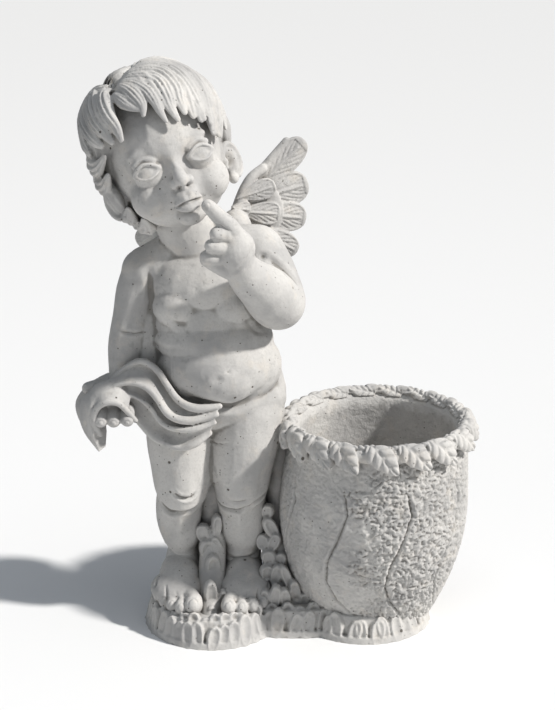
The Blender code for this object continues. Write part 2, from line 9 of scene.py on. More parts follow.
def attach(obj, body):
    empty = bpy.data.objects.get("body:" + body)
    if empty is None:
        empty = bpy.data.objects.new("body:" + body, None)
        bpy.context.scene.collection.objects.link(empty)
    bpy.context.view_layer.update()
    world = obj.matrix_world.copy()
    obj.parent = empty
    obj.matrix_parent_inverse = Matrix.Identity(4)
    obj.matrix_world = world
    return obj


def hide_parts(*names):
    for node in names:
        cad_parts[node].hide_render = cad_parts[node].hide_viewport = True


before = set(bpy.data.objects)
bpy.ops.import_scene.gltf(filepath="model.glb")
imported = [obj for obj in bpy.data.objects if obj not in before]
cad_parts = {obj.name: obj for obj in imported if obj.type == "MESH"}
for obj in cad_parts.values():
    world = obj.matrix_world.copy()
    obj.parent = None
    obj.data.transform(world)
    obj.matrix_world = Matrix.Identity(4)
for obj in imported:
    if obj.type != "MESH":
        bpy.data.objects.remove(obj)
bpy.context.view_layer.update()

# The base. It is the foot of the one casting: a low slab of grey concrete, one round part under the
# child and one under the planter, with a row of upright leaves pressed round its edge by the mould.
# Lengths are in millimetres here and below, times MM where a mesh needs metres.
MM = 0.001
BASE_TOP, BASE_STEP = 26, 3.6
PLANTER_X, PLANTER_Y = 101, -4
LOBES = (((-67, -16), 66, 74), ((89, -12), 65, 65), ((17, -12), 84, 50.7))
PETAL_SPACING = 12.2
PALE_GREY = (0.565, 0.55, 0.527)


def cast_concrete(name, colour, grain=1.0, pits=1.0):
    """Pale weathered concrete: mottled, gritty, pitted by air, darker in hollows and corners from dirt and
    painted shade, with painted shade in the pits and a painted highlight on raised crests.
    """
    material = bpy.data.materials.new(name)
    material.use_nodes = True
    nodes, links = material.node_tree.nodes, material.node_tree.links
    shader = nodes["Principled BSDF"]
    shader.inputs["Metallic"].default_value = 0.0
    shader.inputs["Specular IOR Level"].default_value = 0.25

    def add(kind, **values):
        node = nodes.new(kind)
        for key, value in values.items():
            setattr(node, key, value)
        return node

    def join(out, into):
        links.new(out, into)

    def number(kind, a, b):
        node = add("ShaderNodeMath", operation=kind)
        for socket, value in zip(node.inputs, (a, b)):
            if isinstance(value, (int, float)):
                socket.default_value = value
            else:
                join(value, socket)
        return node.outputs[0]

    def spread(value, low, high, to_low=0.0, to_high=1.0):
        node = add("ShaderNodeMapRange", interpolation_type="SMOOTHSTEP")
        join(value, node.inputs[0])
        for index, bound in enumerate((low, high, to_low, to_high), 1):
            node.inputs[index].default_value = bound
        return node.outputs[0]

    def tint(share, under, over):
        node = add("ShaderNodeMix", data_type="RGBA")
        join(share, node.inputs[0])
        for socket, value in ((node.inputs[6], under), (node.inputs[7], over)):
            if isinstance(value, tuple):
                socket.default_value = (*value, 1)
            else:
                join(value, socket)
        return node.outputs[2]

    place = add("ShaderNodeTexCoord").outputs["Object"]

    def cloud(scale, detail=3.0, rough=0.55):
        node = add("ShaderNodeTexNoise")
        node.inputs["Scale"].default_value = scale
        node.inputs["Detail"].default_value = detail
        node.inputs["Roughness"].default_value = rough
        join(place, node.inputs["Vector"])
        return node.outputs["Fac"]

    warm = tuple(c * s for c, s in zip(colour, (1.03, 0.985, 0.93)))
    dull = tuple(c * s for c, s in zip(colour, (0.74, 0.745, 0.76)))
    mottle = tint(spread(cloud(17, 4), 0.36, 0.64), dull, colour)
    mottle = tint(spread(cloud(55, 4), 0.52, 0.72, 0, 0.55), mottle, warm)
    mottle = tint(spread(cloud(420, 2), 0.42, 0.75, 0, 0.35), mottle, tuple(c * 0.72 for c in colour))
    smudge = number("MULTIPLY", spread(cloud(150, 3), 0.56, 0.74, 0, 0.5), spread(cloud(12, 2), 0.4, 0.62))
    mottle = tint(smudge, mottle, tuple(c * 0.55 for c in colour))

    # Creases and recesses are darkened by the hollow attribute: partly dirt, partly painted shade.
    hollow = add("ShaderNodeAttribute", attribute_name="hollow").outputs["Fac"]
    crevice_dirt_and_painted_shade = spread(number("ADD", hollow, number("MULTIPLY", cloud(60), 0.6)), 0.52, 1.25, 0, 0.68)
    # Ambient occlusion darkens corners and surfaces under and between parts: partly dirt, partly painted
    # shade.
    deep = add("ShaderNodeAmbientOcclusion", samples=6)
    deep.inputs["Distance"].default_value = 0.024
    shade = number("SUBTRACT", 1.0, deep.outputs["AO"])
    grime_and_painted_shade = spread(number("MULTIPLY", shade, spread(cloud(38), 0.3, 0.62, 0.5, 1.0)), 0.30, 0.95, 0, 0.6)
    colour_with_dirt_and_painted_light = tint(grime_and_painted_shade, mottle, (0.155, 0.142, 0.125))
    colour_with_dirt_and_painted_light = tint(crevice_dirt_and_painted_shade, colour_with_dirt_and_painted_light, (0.17, 0.157, 0.138))
    # Raised crests are tinted lighter than the stone: a painted highlight.
    crest = spread(hollow, -0.2, -0.8, 0, 0.22)
    colour_with_dirt_and_painted_light = tint(crest, colour_with_dirt_and_painted_light, tuple(min(1, c * 1.16) for c in colour))

    def pitted(scale, share, wide, patch):
        """Round air pits of several sizes in patches: 1 in a pit's middle and 0 outside."""
        cells = add("ShaderNodeTexVoronoi")
        cells.inputs["Scale"].default_value = scale
        join(place, cells.inputs["Vector"])
        chance = add("ShaderNodeSeparateColor")
        join(cells.outputs["Color"], chance.inputs[0])
        where = number("MULTIPLY", spread(cloud(patch, 2), 0.42, 0.68, 0.12, 1.0), share)
        chosen = number("LESS_THAN", chance.outputs[0], where)
        size = number("MULTIPLY", chosen, number("ADD", chance.outputs[1], 0.35))
        radius = number("MULTIPLY", size, wide)
        return spread(number("SUBTRACT", radius, cells.outputs["Distance"]), 0.0, 0.07)

    pit = number("MAXIMUM", pitted(120, 0.07 * pits, 0.19, 9), pitted(380, 0.17 * pits, 0.24, 16))
    # The air pits are tinted near black: painted shade inside the holes.
    colour_with_dirt_and_painted_light = tint(pit, colour_with_dirt_and_painted_light, (0.15, 0.138, 0.12))
    # The base colour carries the real mottling and dirt together with the painted shade and highlight.
    join(colour_with_dirt_and_painted_light, shader.inputs["Base Color"])

    join(spread(cloud(60, 4), 0.3, 0.7, 0.80, 0.96), shader.inputs["Roughness"])

    grit = number("MULTIPLY", cloud(900, 2, 0.6), 0.22 * grain)
    coarse = number("MULTIPLY", cloud(240, 3, 0.6), 0.55 * grain)
    swell = number("MULTIPLY", cloud(70, 2), 0.9 * grain)
    rough = number("ADD", number("ADD", grit, coarse), swell)
    height = number("SUBTRACT", rough, number("MULTIPLY", pit, 1.2))
    bump = add("ShaderNodeBump")
    bump.inputs["Strength"].default_value = 0.85
    bump.inputs["Distance"].default_value = 0.001
    join(height, bump.inputs["Height"])
    join(bump.outputs["Normal"], shader.inputs["Normal"])
    return material


# This material paints shade into hollows, corners and pits and a highlight on crests, besides the stone's own
# mottling.
CONCRETE = cast_concrete("concrete_with_dirt_and_painted_shade", PALE_GREY)


def applied(mesh, *modifiers):
    """The mesh with modifiers applied. Each is a kind and its settings."""
    shape = bpy.data.objects.new("work", mesh)
    bpy.context.scene.collection.objects.link(shape)
    for kind, settings in modifiers:
        modifier = shape.modifiers.new(kind.lower(), kind)
        for key, value in settings.items():
            setattr(modifier, key, value)
    bpy.context.view_layer.update()
    made = bpy.data.meshes.new_from_object(shape.evaluated_get(bpy.context.evaluated_depsgraph_get()))
    bpy.data.objects.remove(shape)
    bpy.data.meshes.remove(mesh)
    return made


def grown(forms, voxel, smooth):
    """Fuses closed forms into one skin and softens it. The result is a new mesh, in metres."""
    skin = ("REMESH", {"mode": "VOXEL", "voxel_size": voxel * MM})
    if smooth:
        return applied(forms, skin, ("SMOOTH", {"iterations": smooth}))
    return applied(forms, skin)


def points_of(mesh):
    """The mesh's points and normals in millimetres, as arrays."""
    points = np.empty(len(mesh.vertices) * 3, np.float32)
    normals = np.empty(len(mesh.vertices) * 3, np.float32)
    mesh.vertices.foreach_get("co", points)
    mesh.vertex_normals.foreach_get("vector", normals)
    return points.reshape(-1, 3).astype(float) / MM, normals.reshape(-1, 3).astype(float)


def put_points(mesh, points):
    mesh.vertices.foreach_set("co", (points * MM).astype(np.float32).ravel())
    mesh.update()


def relaxed(mesh, places, rounds):
    """The points' places, averaged with their neighbours' a number of times."""
    edges = np.empty(len(mesh.edges) * 2, np.int32)
    mesh.edges.foreach_get("vertices", edges)
    a, b = edges[::2], edges[1::2]
    count = np.bincount(edges, minlength=len(places)).astype(float)
    for _ in range(rounds):
        total = [np.bincount(a, c[b], len(c)) + np.bincount(b, c[a], len(c)) for c in places.T]
        mean = np.stack([column / count for column in total], axis=1)
        places = mean * 0.6 + places * 0.4
    return places


def finished_piece(name, mesh, triangles, material=None, reach=(6, 30)):
    """Makes the finished piece: how deep each point lies in a hollow, its triangles and its finish.
    reach is how many rounds of averaging find its narrow hollows and its wide ones."""
    points, normals = points_of(mesh)
    near, far = reach
    once = relaxed(mesh, points, near)
    twice = relaxed(mesh, once, far)
    depth = ((once - points) * normals).sum(axis=1) / 0.9 + ((twice - once) * normals).sum(axis=1) / 2.6
    # The hollow depth drives the material's darker hollows (dirt and painted shade) and lighter crests
    # (painted highlight).
    hollow = mesh.attributes.new("hollow", "FLOAT", "POINT")
    hollow.data.foreach_set("value", np.clip(depth, -1, 1).astype(np.float32))
    mesh.calc_loop_triangles()
    thinner = triangles / len(mesh.loop_triangles)
    if thinner < 1:
        mesh = applied(mesh, ("DECIMATE", {"ratio": thinner}))
    piece = bpy.data.objects.new(name, mesh)
    bpy.context.scene.collection.objects.link(piece)
    mesh.materials.clear()
    mesh.materials.append(material or CONCRETE)
    mesh.shade_smooth()
    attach(piece, "root")
    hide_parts("statue")


def as_mesh(work):
    """The bmesh as a new mesh. The bmesh is freed."""
    made = bpy.data.meshes.new("form")
    work.to_mesh(made)
    work.free()
    return made


def closed(leaf):
    """A leaf's front and back joined along their rims, as a mesh."""
    bmesh.ops.bridge_loops(leaf, edges=[e for e in leaf.edges if e.is_boundary])
    bmesh.ops.remove_doubles(leaf, verts=leaf.verts, dist=0.02)
    bmesh.ops.recalc_face_normals(leaf, faces=leaf.faces)
    return as_mesh(leaf)


def leaf_form(length, width, thick, widest, point, relief, rows=14, columns=9):
    """A leaf along +Z, facing -Y, its root at the origin. relief(side, along) is how far it stands out.
    widest is a share of its length, and point is 1 for a sharp tip and less for a round one."""
    leaf = bmesh.new()
    bmesh.ops.create_grid(leaf, x_segments=columns, y_segments=rows, size=1)
    for v in leaf.verts:
        side, along = v.co.x, (v.co.y + 1) / 2
        bent = along ** (math.log(0.5) / math.log(widest))
        half = math.sin(math.pi * min(max(bent, 0), 1)) ** point * width / 2
        crown = (1 - side * side) * math.sin(math.pi * along) ** 0.5
        v.co = Vector((side * half, -thick * (0.25 + 0.75 * crown) / 2 - relief(side, along), along * length))
    back = bmesh.ops.duplicate(leaf, geom=leaf.verts[:] + leaf.edges[:] + leaf.faces[:])
    for v in back["geom"]:
        if isinstance(v, bmesh.types.BMVert):
            v.co.y = thick * 0.5
    return closed(leaf)


def lay(heap, form, place, along, face):
    """Puts a copy of a leaf on the heap: its root at place, its length along, its front towards face."""
    along = Vector(along).normalized()
    face = Vector(face)
    front = (face - along * face.dot(along)).normalized()
    turn = Matrix((-front.cross(along), -front, along)).transposed()
    copy = form.copy()
    copy.transform(Matrix.Translation(Vector(place)) @ turn.to_4x4())
    heap.append(copy)


def formed(make, **settings):
    """A form in millimetres, as one bmesh operator makes it."""
    work = bmesh.new()
    make(work, **settings)
    return as_mesh(work)


def heaped(heap):
    """The heap of forms as one mesh in metres."""
    whole = bmesh.new()
    for form in heap:
        whole.from_mesh(form)
        bpy.data.meshes.remove(form)
    bmesh.ops.scale(whole, vec=(MM, MM, MM), verts=whole.verts)
    return as_mesh(whole)


def petal_relief(side, along):
    """A raised rim round a sunk middle, with a faint rib."""
    edge = max(abs(side), abs(2 * along - 1.05) * 0.88)
    rim = 2.3 * math.exp(-(((edge - 0.72) / 0.15) ** 2))
    sunk = 1.7 * math.exp(-((side / 0.36) ** 2)) * (along > 0.2)
    return rim - sunk + 0.6 * math.exp(-((side / 0.1) ** 2))


def spot(seed):
    """A number from 0 to 1 that looks random and is the same each time."""
    return (math.sin(seed * 12.9898) * 43758.5453) % 1


heap = []
for (x, y), wide, deep in LOBES:
    place = Matrix.Translation((x, y, BASE_TOP / 2 - 3)) @ Matrix.Diagonal((wide, deep, 1, 1))
    slab = {"segments": 96, "radius1": 0.98, "radius2": 0.90, "depth": BASE_TOP + 6}
    heap.append(formed(bmesh.ops.create_cone, cap_ends=True, matrix=place, **slab))
    place = Matrix.Translation((x, y, 1.5)) @ Matrix.Diagonal((wide + BASE_STEP, deep + BASE_STEP, 1, 1))
    foot = {"segments": 96, "radius1": 1, "radius2": 0.975, "depth": 9}
    heap.append(formed(bmesh.ops.create_cone, cap_ends=True, matrix=place, **foot))
for index, ((x, y), wide, deep) in enumerate(LOBES):
    others = [lobe for i, lobe in enumerate(LOBES) if i != index]
    count = round(math.pi * (wide + deep) / PETAL_SPACING)
    for k in range(count):
        angle = math.tau * (k + 0.5 * (index == 1)) / count
        edge = Vector((x + wide * math.cos(angle), y + deep * math.sin(angle), 0))
        if any(((edge.x - ox) / ow) ** 2 + ((edge.y - oy) / od) ** 2 < 0.88 for (ox, oy), ow, od in others):
            continue
        chance = spot(k + 40 * index)
        out = Vector((math.cos(angle) / wide, math.sin(angle) / deep, 0)).normalized()
        aside = out.cross(Vector((0, 0, 1)))
        petal = leaf_form(30 + 8 * chance, 12.6 + 5.4 * spot(3 * k), 6.5, 0.62, 0.42, petal_relief)
        lean = Vector((0, 0, 1)) - out * 0.24 + aside * 0.55 * (spot(7 * k + index) - 0.5)
        lay(heap, petal, edge + out * (0.2 + 1.6 * spot(5 * k)) + Vector((0, 0, -6)), lean, out)
        bpy.data.meshes.remove(petal)
        if out.y < 0.25:
            behind = leaf_form(17 + 5 * spot(11 * k), 13.5, 6, 0.6, 0.42, petal_relief)
            start = edge - out * 9 + aside * 6.5 + Vector((0, 0, 11 + 4 * spot(2 * k)))
            lay(heap, behind, start, lean, out + aside * 0.4 * (spot(9 * k) - 0.5))
            bpy.data.meshes.remove(behind)
base = grown(heaped(heap), 1.05, 1)
cut = bmesh.new()
cut.from_mesh(base)
whole = cut.verts[:] + cut.edges[:] + cut.faces[:]
bmesh.ops.bisect_plane(cut, geom=whole, plane_co=(0, 0, 0), plane_no=(0, 0, -1), clear_outer=True)
bmesh.ops.holes_fill(cut, edges=[e for e in cut.edges if e.is_boundary])
bmesh.ops.triangulate(cut, faces=[f for f in cut.faces if len(f.verts) > 4])
cut.to_mesh(base)
cut.free()
finished_piece("base_with_leaves", base, 95000)

# Foliage. Stacked leaves fill the space between the legs and knobs like berries the one between the
# leg and the planter. Both are there in the real thing so that the legs don't stand free in the mould.
heap = []
EGG = formed(bmesh.ops.create_uvsphere, u_segments=22, v_segments=15, radius=1)


def lump(heap, place, radii, turn=None):
    """An egg-shaped form. radii is one number or three, turn a rotation matrix."""
    radii = (radii,) * 3 if isinstance(radii, (int, float)) else radii
    turned = turn.to_4x4() if turn else Matrix()
    copy = EGG.copy()
    copy.transform(Matrix.Translation(place) @ turned @ Matrix.Diagonal((*radii, 1)))
    heap.append(copy)


def rod(heap, joints):
    """Round bars between eggs. Each of the joints is a place and a radius."""
    for (*a, ra), (*b, rb) in zip(joints, joints[1:]):
        a, b = Vector(a), Vector(b)
        way = b - a
        matrix = Matrix.Translation((a + b) / 2) @ way.to_track_quat("Z", "Y").to_matrix().to_4x4()
        bar = {"cap_ends": True, "segments": 22, "radius1": ra, "radius2": rb, "depth": way.length}
        heap.append(formed(bmesh.ops.create_cone, matrix=matrix, **bar))
    for *a, ra in joints:
        lump(heap, a, float(ra))


rod(heap, [(-66, 17, 32, 24), (-66, 17, 120, 17), (-65, 17, 215, 18)])
rod(heap, [(10, 14, 34, 26), (5, 13, 70, 20), (1, 13, 120, 14), (4, 14, 198, 10)])
rod(heap, [(-66, -4, 84, 13), (-67, -17, 56, 14), (-68, -34, 34, 13), (-68, -56, 20, 12)])
rod(heap, [(-2, -2, 80, 14), (2, -14, 50, 16), (6, -28, 28, 14), (30, -26, 24, 13)])
LEG_LEAVES = (
    (-62, -12, 100, 27, 11, 0.05),
    (-76, -12, 92, 21, 16, -0.1),
    (-71, -17, 76, 24, 19, 0.12),
    (-61, -15, 80, 26, 10, -0.45),
    (-66, -27, 57, 38, 17, 0.02),
    (-68, -49, 38, 38, 15, 0.0),
    (-66, -61, 24, 20, 13, 0.0),
    (-57, -46, 32, 26, 10, 0.2),
)
KNOB_LEAVES = (
    (-10, -13, 116, 17, 14, 0.1),
    (-7, -18, 101, 27, 14, -0.5),
    (-15, -17, 85, 17, 15, 0.2),
    (-3, -20, 86, 22, 13, 0.4),
    (-9, -25, 71, 16, 16, -0.2),
    (3, -24, 66, 22, 13, 0.3),
    (-11, -30, 56, 18, 15, 0.1),
    (10, -34, 51, 37, 11, -0.35),
    (-1, -32, 54, 26, 13, 0.2),
    (-14, -46, 33, 26, 12, 0.1),
    (-2, -46, 36, 30, 12, 0.05),
    (8, -44, 32, 29, 12, -0.1),
    (18, -38, 39, 27, 12, -0.15),
    (28, -38, 27, 23, 12, 0.1),
    (40, -40, 23, 20, 12, -0.05),
    (-21, -60, 27, 18, 12, 0.1),
    (50, -46, 22, 18, 12, 0.0),
)
for x, y, z, tall, wide, lean in LEG_LEAVES + KNOB_LEAVES:
    leaf = leaf_form(tall, wide, 9, 0.57, 0.4, petal_relief, 20, 14)
    root = (x - lean * tall / 2, y + 3, z - tall / 2)
    lay(heap, leaf, root, (lean, -0.12, 1), (0.25 * math.cos(z), -1, 0.25))
    bpy.data.meshes.remove(leaf)
finished_piece("foliage_between", grown(heaped(heap), 1.05, 1), 60000)

# The planter. A hollow pot of the same concrete, wide in the belly and open at the top. Wavy lines are
# scored down its outside and the wall between them is roughened with a tool. It was cast with the rest.
POT_FOOT, POT_BELLY, POT_LIP = 50, 92, 216
POT_WALL, POT_FLOOR = 10, 48
RIM_REACH, RIM_ROLL = 90, 7
POT_EDGE = POT_LIP - RIM_ROLL


def pot_radius(z):
    belly = 0.6 * POT_LIP
    if z < belly:
        return POT_FOOT + (POT_BELLY - POT_FOOT) * math.sin(math.pi / 2 * max(z, 0) / belly) ** 0.85
    return POT_BELLY - 3 * ((z - belly) / (POT_EDGE - belly)) ** 2


outside = [(pot_radius(z), z) for z in np.linspace(6, POT_EDGE, 165)]
over = [(RIM_REACH - 1 + 6 * math.cos(a), POT_EDGE + 5 * math.sin(a)) for a in np.linspace(0.3, 2.9, 7)]
inside = [(pot_radius(z) - POT_WALL, z) for z in np.linspace(POT_EDGE - 2, POT_FLOOR + 9, 34)]
foot_inside = pot_radius(POT_FLOOR) - POT_WALL
corner = [(foot_inside - 5, POT_FLOOR + 2.5), (foot_inside - 12, POT_FLOOR)]
section = [(0, 6), (30, 6), *outside, *over, *inside, *corner, (28, POT_FLOOR), (0, POT_FLOOR)]
turned = bmesh.new()
line = [turned.verts.new((r * MM, 0, z * MM)) for r, z in section]
for pair in zip(line, line[1:]):
    turned.edges.new(pair)
pot = applied(as_mesh(turned), ("SCREW", {"steps": 480, "render_steps": 480}))
clean = bmesh.new()
clean.from_mesh(pot)
bmesh.ops.translate(clean, vec=(PLANTER_X * MM, PLANTER_Y * MM, 0), verts=clean.verts)
bmesh.ops.remove_doubles(clean, verts=clean.verts, dist=1e-6)
bmesh.ops.recalc_face_normals(clean, faces=clean.faces)
clean.to_mesh(pot)
clean.free()

SCORE_HEIGHTS = (20, 30, 45, 65, 90, 115, 145, 162, 175)
SCORE_SWAY = (6, 0, -9, -14, -11, -4, 2, 0, -2)
SCORE_STARTS = range(-152, 180, 40)
SWELL_HEIGHTS, SWELL = (20, 40, 80, 125, 160, 185), (16, 15, 10, 7, 4, 0)
points, normals = points_of(pot)
across, forward, height = points[:, 0] - PLANTER_X, points[:, 1] - PLANTER_Y, points[:, 2]
around = np.degrees(np.arctan2(forward, across))
reach = np.hypot(forward, across)
outer = reach > np.array([pot_radius(z) for z in height]) - 1
sunk = np.zeros(len(points))
sway = np.interp(height, SCORE_HEIGHTS, SCORE_SWAY)
for start in SCORE_STARTS:
    off = np.radians((around - start - sway + 180) % 360 - 180) * reach
    width = 1.35 + 0.5 * np.sin(height * 0.11 + start)
    fade = np.clip((height - 20) / 12, 0, 1) * np.clip((172 - height) / 14, 0, 1)
    sunk += (3.0 * np.exp(-((off / width) ** 2)) - 0.6 * np.exp(-(((np.abs(off) - 3.2) / 1.5) ** 2))) * fade
dabs = np.zeros(len(points))
for index in np.nonzero(outer)[0]:
    along, up = math.radians(around[index]) * 90, height[index]
    broad = noise.noise(Vector((along * 0.13, up * 0.16, 3)))
    small = noise.noise(Vector((along * 0.30 + 0.8 * broad, up * 0.36, 8)))
    dabs[index] = 0.8 * broad + 1.1 * small + 0.5 * noise.noise(Vector((along * 0.6, up * 0.7, 5)))
left_edge = around + 108 + 9 * np.sin(height * 0.09) + 5 * np.sin(height * 0.31)
tooled = 0.42 + 0.58 * np.clip(left_edge / 9, 0, 1) * (around < 150)
sunk -= np.clip(dabs * 2.6, -0.8, 0.95) * 1.25 * tooled
points -= normals * (sunk * outer)[:, None]
towards_leg = np.clip(np.cos(np.radians(around + 180)), 0, 1) ** 1.5
points[:, 0] -= np.interp(height, SWELL_HEIGHTS, SWELL) * towards_leg * outer
put_points(pot, points)
# The same painted shade in hollows and pits and painted highlight on crests as the concrete above.
ROUGH_CONCRETE = cast_concrete("rough_concrete", PALE_GREY, grain=2.2, pits=0.8)
finished_piece("planter_pot", pot, 158000, material=ROUGH_CONCRETE, reach=(4, 24))

# The garland. A ring of pointed leaves, each with a midrib and side veins, laid over the planter's rim
# so that each leaf's tip hangs over the root of the next. Pressed in the same mould.
RIM_LINE = (
    (83, 209), (85.5, 213.5), (90, 215.5), (94.2, 213),
    (96, 206), (95.6, 199), (94.6, 192), (93.4, 184),
)
RIM_SLOPES = (0.5, 0.95, 1.55, 2.3, 3.0, 3.3, 3.3, 3.3)
rim_steps = [0.0]
for a, b in zip(RIM_LINE, RIM_LINE[1:]):
    rim_steps.append(rim_steps[-1] + math.dist(a, b))


def on_rim(turn, down, lift):
    """A place on the rim: turn in mm round it, down in mm over its edge, lift out from the surface."""
    slope = np.interp(down, rim_steps, RIM_SLOPES)
    radius = np.interp(down, rim_steps, [p[0] for p in RIM_LINE]) - lift * math.cos(slope)
    height = np.interp(down, rim_steps, [p[1] for p in RIM_LINE]) + lift * math.sin(slope)
    angle = turn / RIM_REACH
    return Vector((PLANTER_X + radius * math.cos(angle), PLANTER_Y + radius * math.sin(angle), height))


def rim_leaf(start, lean, length, width, top, height):
    """A leaf bent over the rim, with a sunk midrib and side veins. lean is its turn down from level."""
    leaf = bmesh.new()
    bmesh.ops.create_grid(leaf, x_segments=26, y_segments=40, size=1)
    places = {}
    for v in leaf.verts:
        side, along = v.co.x, (v.co.y + 1) / 2
        half = width / 2 * math.sin(math.pi * min(1, along**0.7)) ** 0.62
        vein = 0.5 + 0.5 * math.cos(math.tau * (along * 4.4 - 0.9 * abs(side)))
        lift = height * (1 - 0.5 * abs(side) ** 4) * (0.55 + 0.6 * along) + 0.8 * abs(side)
        lift -= 2.3 * vein**3 * (0.1 < abs(side)) + 2.4 * math.exp(-((side / 0.13) ** 2))
        across, ahead = side * half, along * length
        turn = start + ahead * math.cos(lean) - across * math.sin(lean)
        down = top + ahead * math.sin(lean) + across * math.cos(lean)
        places[v] = turn, down, max(lift, 0.3)
    back = bmesh.ops.duplicate(leaf, geom=leaf.verts[:] + leaf.edges[:] + leaf.faces[:])
    for v, (turn, down, lift) in places.items():
        v.co = on_rim(turn, down, lift)
        back["vert_map"][v].co = on_rim(turn, down, -3)
    return closed(leaf)


ring = []
LEAVES = 18
CORE_HEIGHT, CORE_RADIUS = 207.5, 6.5
for k in range(LEAVES):
    start = math.tau * RIM_REACH * (k + 0.12 * spot(k)) / LEAVES
    ring.append(rim_leaf(start, 0.74 + 0.12 * spot(3 * k), 38 + 3 * spot(2 * k), 23, 6, 6.4))
    ring.append(rim_leaf(start + 13, 0.1 + 0.16 * spot(7 * k), 27 + 3 * spot(5 * k), 15, 3, 4.4))
core = []
for a in np.linspace(0, math.tau, 61):
    x, y = PLANTER_X + RIM_REACH * math.cos(a), PLANTER_Y + RIM_REACH * math.sin(a)
    core.append((x, y, CORE_HEIGHT, CORE_RADIUS))
rod(ring, core)
finished_piece("rim_garland", grown(heaped(ring), 0.8, 0), 100000)

# The child's body. Trunk, neck, arms and legs of a plump child, one soft form with creases where the
# limbs bend. It was modelled in clay, so its edges are round, and cast with the rest.
def course(rows, steps=4):
    """Rows of numbers on a smooth curve through the rows given."""
    rows = np.array(rows, float)
    ends = np.vstack([2 * rows[0] - rows[1], rows, 2 * rows[-1] - rows[-2]])
    t = np.linspace(0, len(rows) - 1, (len(rows) - 1) * steps + 1)
    k = np.minimum(t.astype(int), len(rows) - 2)
    t = (t - k)[:, None]
    a, b, c, d = (ends[k + i] for i in range(4))
    return (2 * b + (c - a) * t + (2 * a - 5 * b + 4 * c - d) * t**2 + (3 * b - a - 3 * c + d) * t**3) / 2


def limb(heap, joints, steps=4):
    """Round bars on a smooth curve through the joints."""
    rod(heap, course(joints, steps))


def carve(points, normals, path, width, depth, lip=0.0):
    """Presses a line into the surface along a path of places, each first moved to the nearest point.
    lip raises the skin on both sides of it."""
    onto = [points[np.argmin(((points - place) ** 2).sum(axis=1))] for place in np.array(path, float)]
    route = course(onto, 5)
    low, high = route.min(axis=0) - 4 * width, route.max(axis=0) + 4 * width
    near = np.nonzero(((points > low) & (points < high)).all(axis=1))[0]
    best = np.full(len(near), 1e9)
    share = np.zeros(len(near))
    for i, (a, b) in enumerate(zip(route, route[1:])):
        way = b - a
        t = np.clip(((points[near] - a) @ way) / max(way @ way, 1e-9), 0, 1)
        away = np.linalg.norm(points[near] - a - t[:, None] * way, axis=1)
        closer = away < best
        best[closer] = away[closer]
        share[closer] = (i + t[closer]) / (len(route) - 1)
    fade = np.sin(math.pi * np.clip(share * 0.94 + 0.03, 0, 1)) ** 0.6
    push = depth * np.exp(-((best / width) ** 2)) - lip * np.exp(-(((best - 2 * width) / width) ** 2))
    points[near] -= normals[near] * (push * fade)[:, None]


def press(points, normals, place, radius, depth):
    """Pushes a round hollow into the surface, or raises it where depth is negative."""
    away = np.linalg.norm((points - np.array(place, float)) / radius, axis=1)
    points -= normals * (depth * np.exp(-(away**2)))[:, None]


TRUNK = (
    ((-61, 4, 236), (71, 45, 34)),
    ((-57, -8, 274), (62, 46, 43)),
    ((-54, -13, 268), (44, 45, 33)),
    ((-67, 2, 318), (57, 41, 42)),
    ((-63, -4, 300), (60, 43, 30)),
    ((-71, 3, 356), (59, 41, 42)),
    ((-70, 20, 330), (54, 30, 62)),
    ((-97, -13, 337), (27, 25, 23)),
    ((-47, -13, 337), (27, 25, 23)),
    ((-90, 30, 222), (33, 28, 31)),
    ((-34, 30, 222), (33, 28, 31)),
    ((-62, 20, 236), (48, 32, 34)),
)
heap = []
for place, radii in TRUNK:
    lump(heap, place, radii)
limb(heap, [(-131, 8, 366, 24), (-84, 8, 388, 25), (-20, 12, 386, 26)])
limb(heap, [(-80, 8, 384, 28), (-96, 0, 425, 27)])
limb(heap, [(-26, 10, 322, 14), (-15, 14, 280, 14), (-5, 6, 244, 14)])
HANGING_ARM = [
    (-129, 8, 368, 23.5),
    (-139, 7, 346, 21.5),
    (-145, 4, 322, 19),
    (-148, 1, 306, 19),
    (-151, -3, 288, 18.5),
    (-154, -10, 264, 14.5),
    (-157, -14, 256, 13),
]
limb(heap, HANGING_ARM)
limb(heap, [(-124, 10, 356, 15), (-128, 8, 322, 17), (-130, 4, 292, 18), (-132, 0, 262, 18)])
RAISED_ARM = [
    (-20, 12, 384, 27.5),
    (-8, -3, 368, 26),
    (1, -22, 344, 27),
    (-5, -36, 351, 26.5),
    (-13, -46, 363, 24.5),
    (-25, -60, 377, 20.5),
    (-33, -69, 389, 17.5),
    (-37, -75, 399, 16.5),
]
limb(heap, RAISED_ARM)
# Thigh, calf and ankle of the child's right leg, then of the left.
LEGS = (
    [(-96, 2, 222, 36.5), (-98, -3, 196, 35), (-97, -4, 170, 32.5), (-97, -7, 148, 29), (-97, -7, 138, 24.5)],
    [(-99, -1, 132, 24.5), (-101, 1, 116, 24), (-101, 3, 102, 23), (-99, 2, 90, 21), (-99, 2, 85, 18.5)],
    [(-99, 4, 88, 15.5), (-98, 4, 71, 15.5), (-97, 4, 58, 17), (-97, 3, 46, 18)],
    [(-30, 2, 222, 38), (-32, -3, 196, 36), (-36, -5, 170, 33), (-37, -7, 148, 28.5), (-38, -7, 139, 24.5)],
    [(-37, -1, 132, 24.5), (-36, 1, 116, 25), (-35, 3, 102, 25.5), (-35, 3, 92, 24), (-35, 3, 86, 21)],
    [(-36, 4, 88, 19), (-36, 4, 71, 19), (-36, 4, 58, 20), (-36, 3, 46, 21)],
)
for part in LEGS:
    limb(heap, part)
lump(heap, (-97, -22, 147), (18, 12, 15))
lump(heap, (-39, -22, 145), (19, 11, 16))
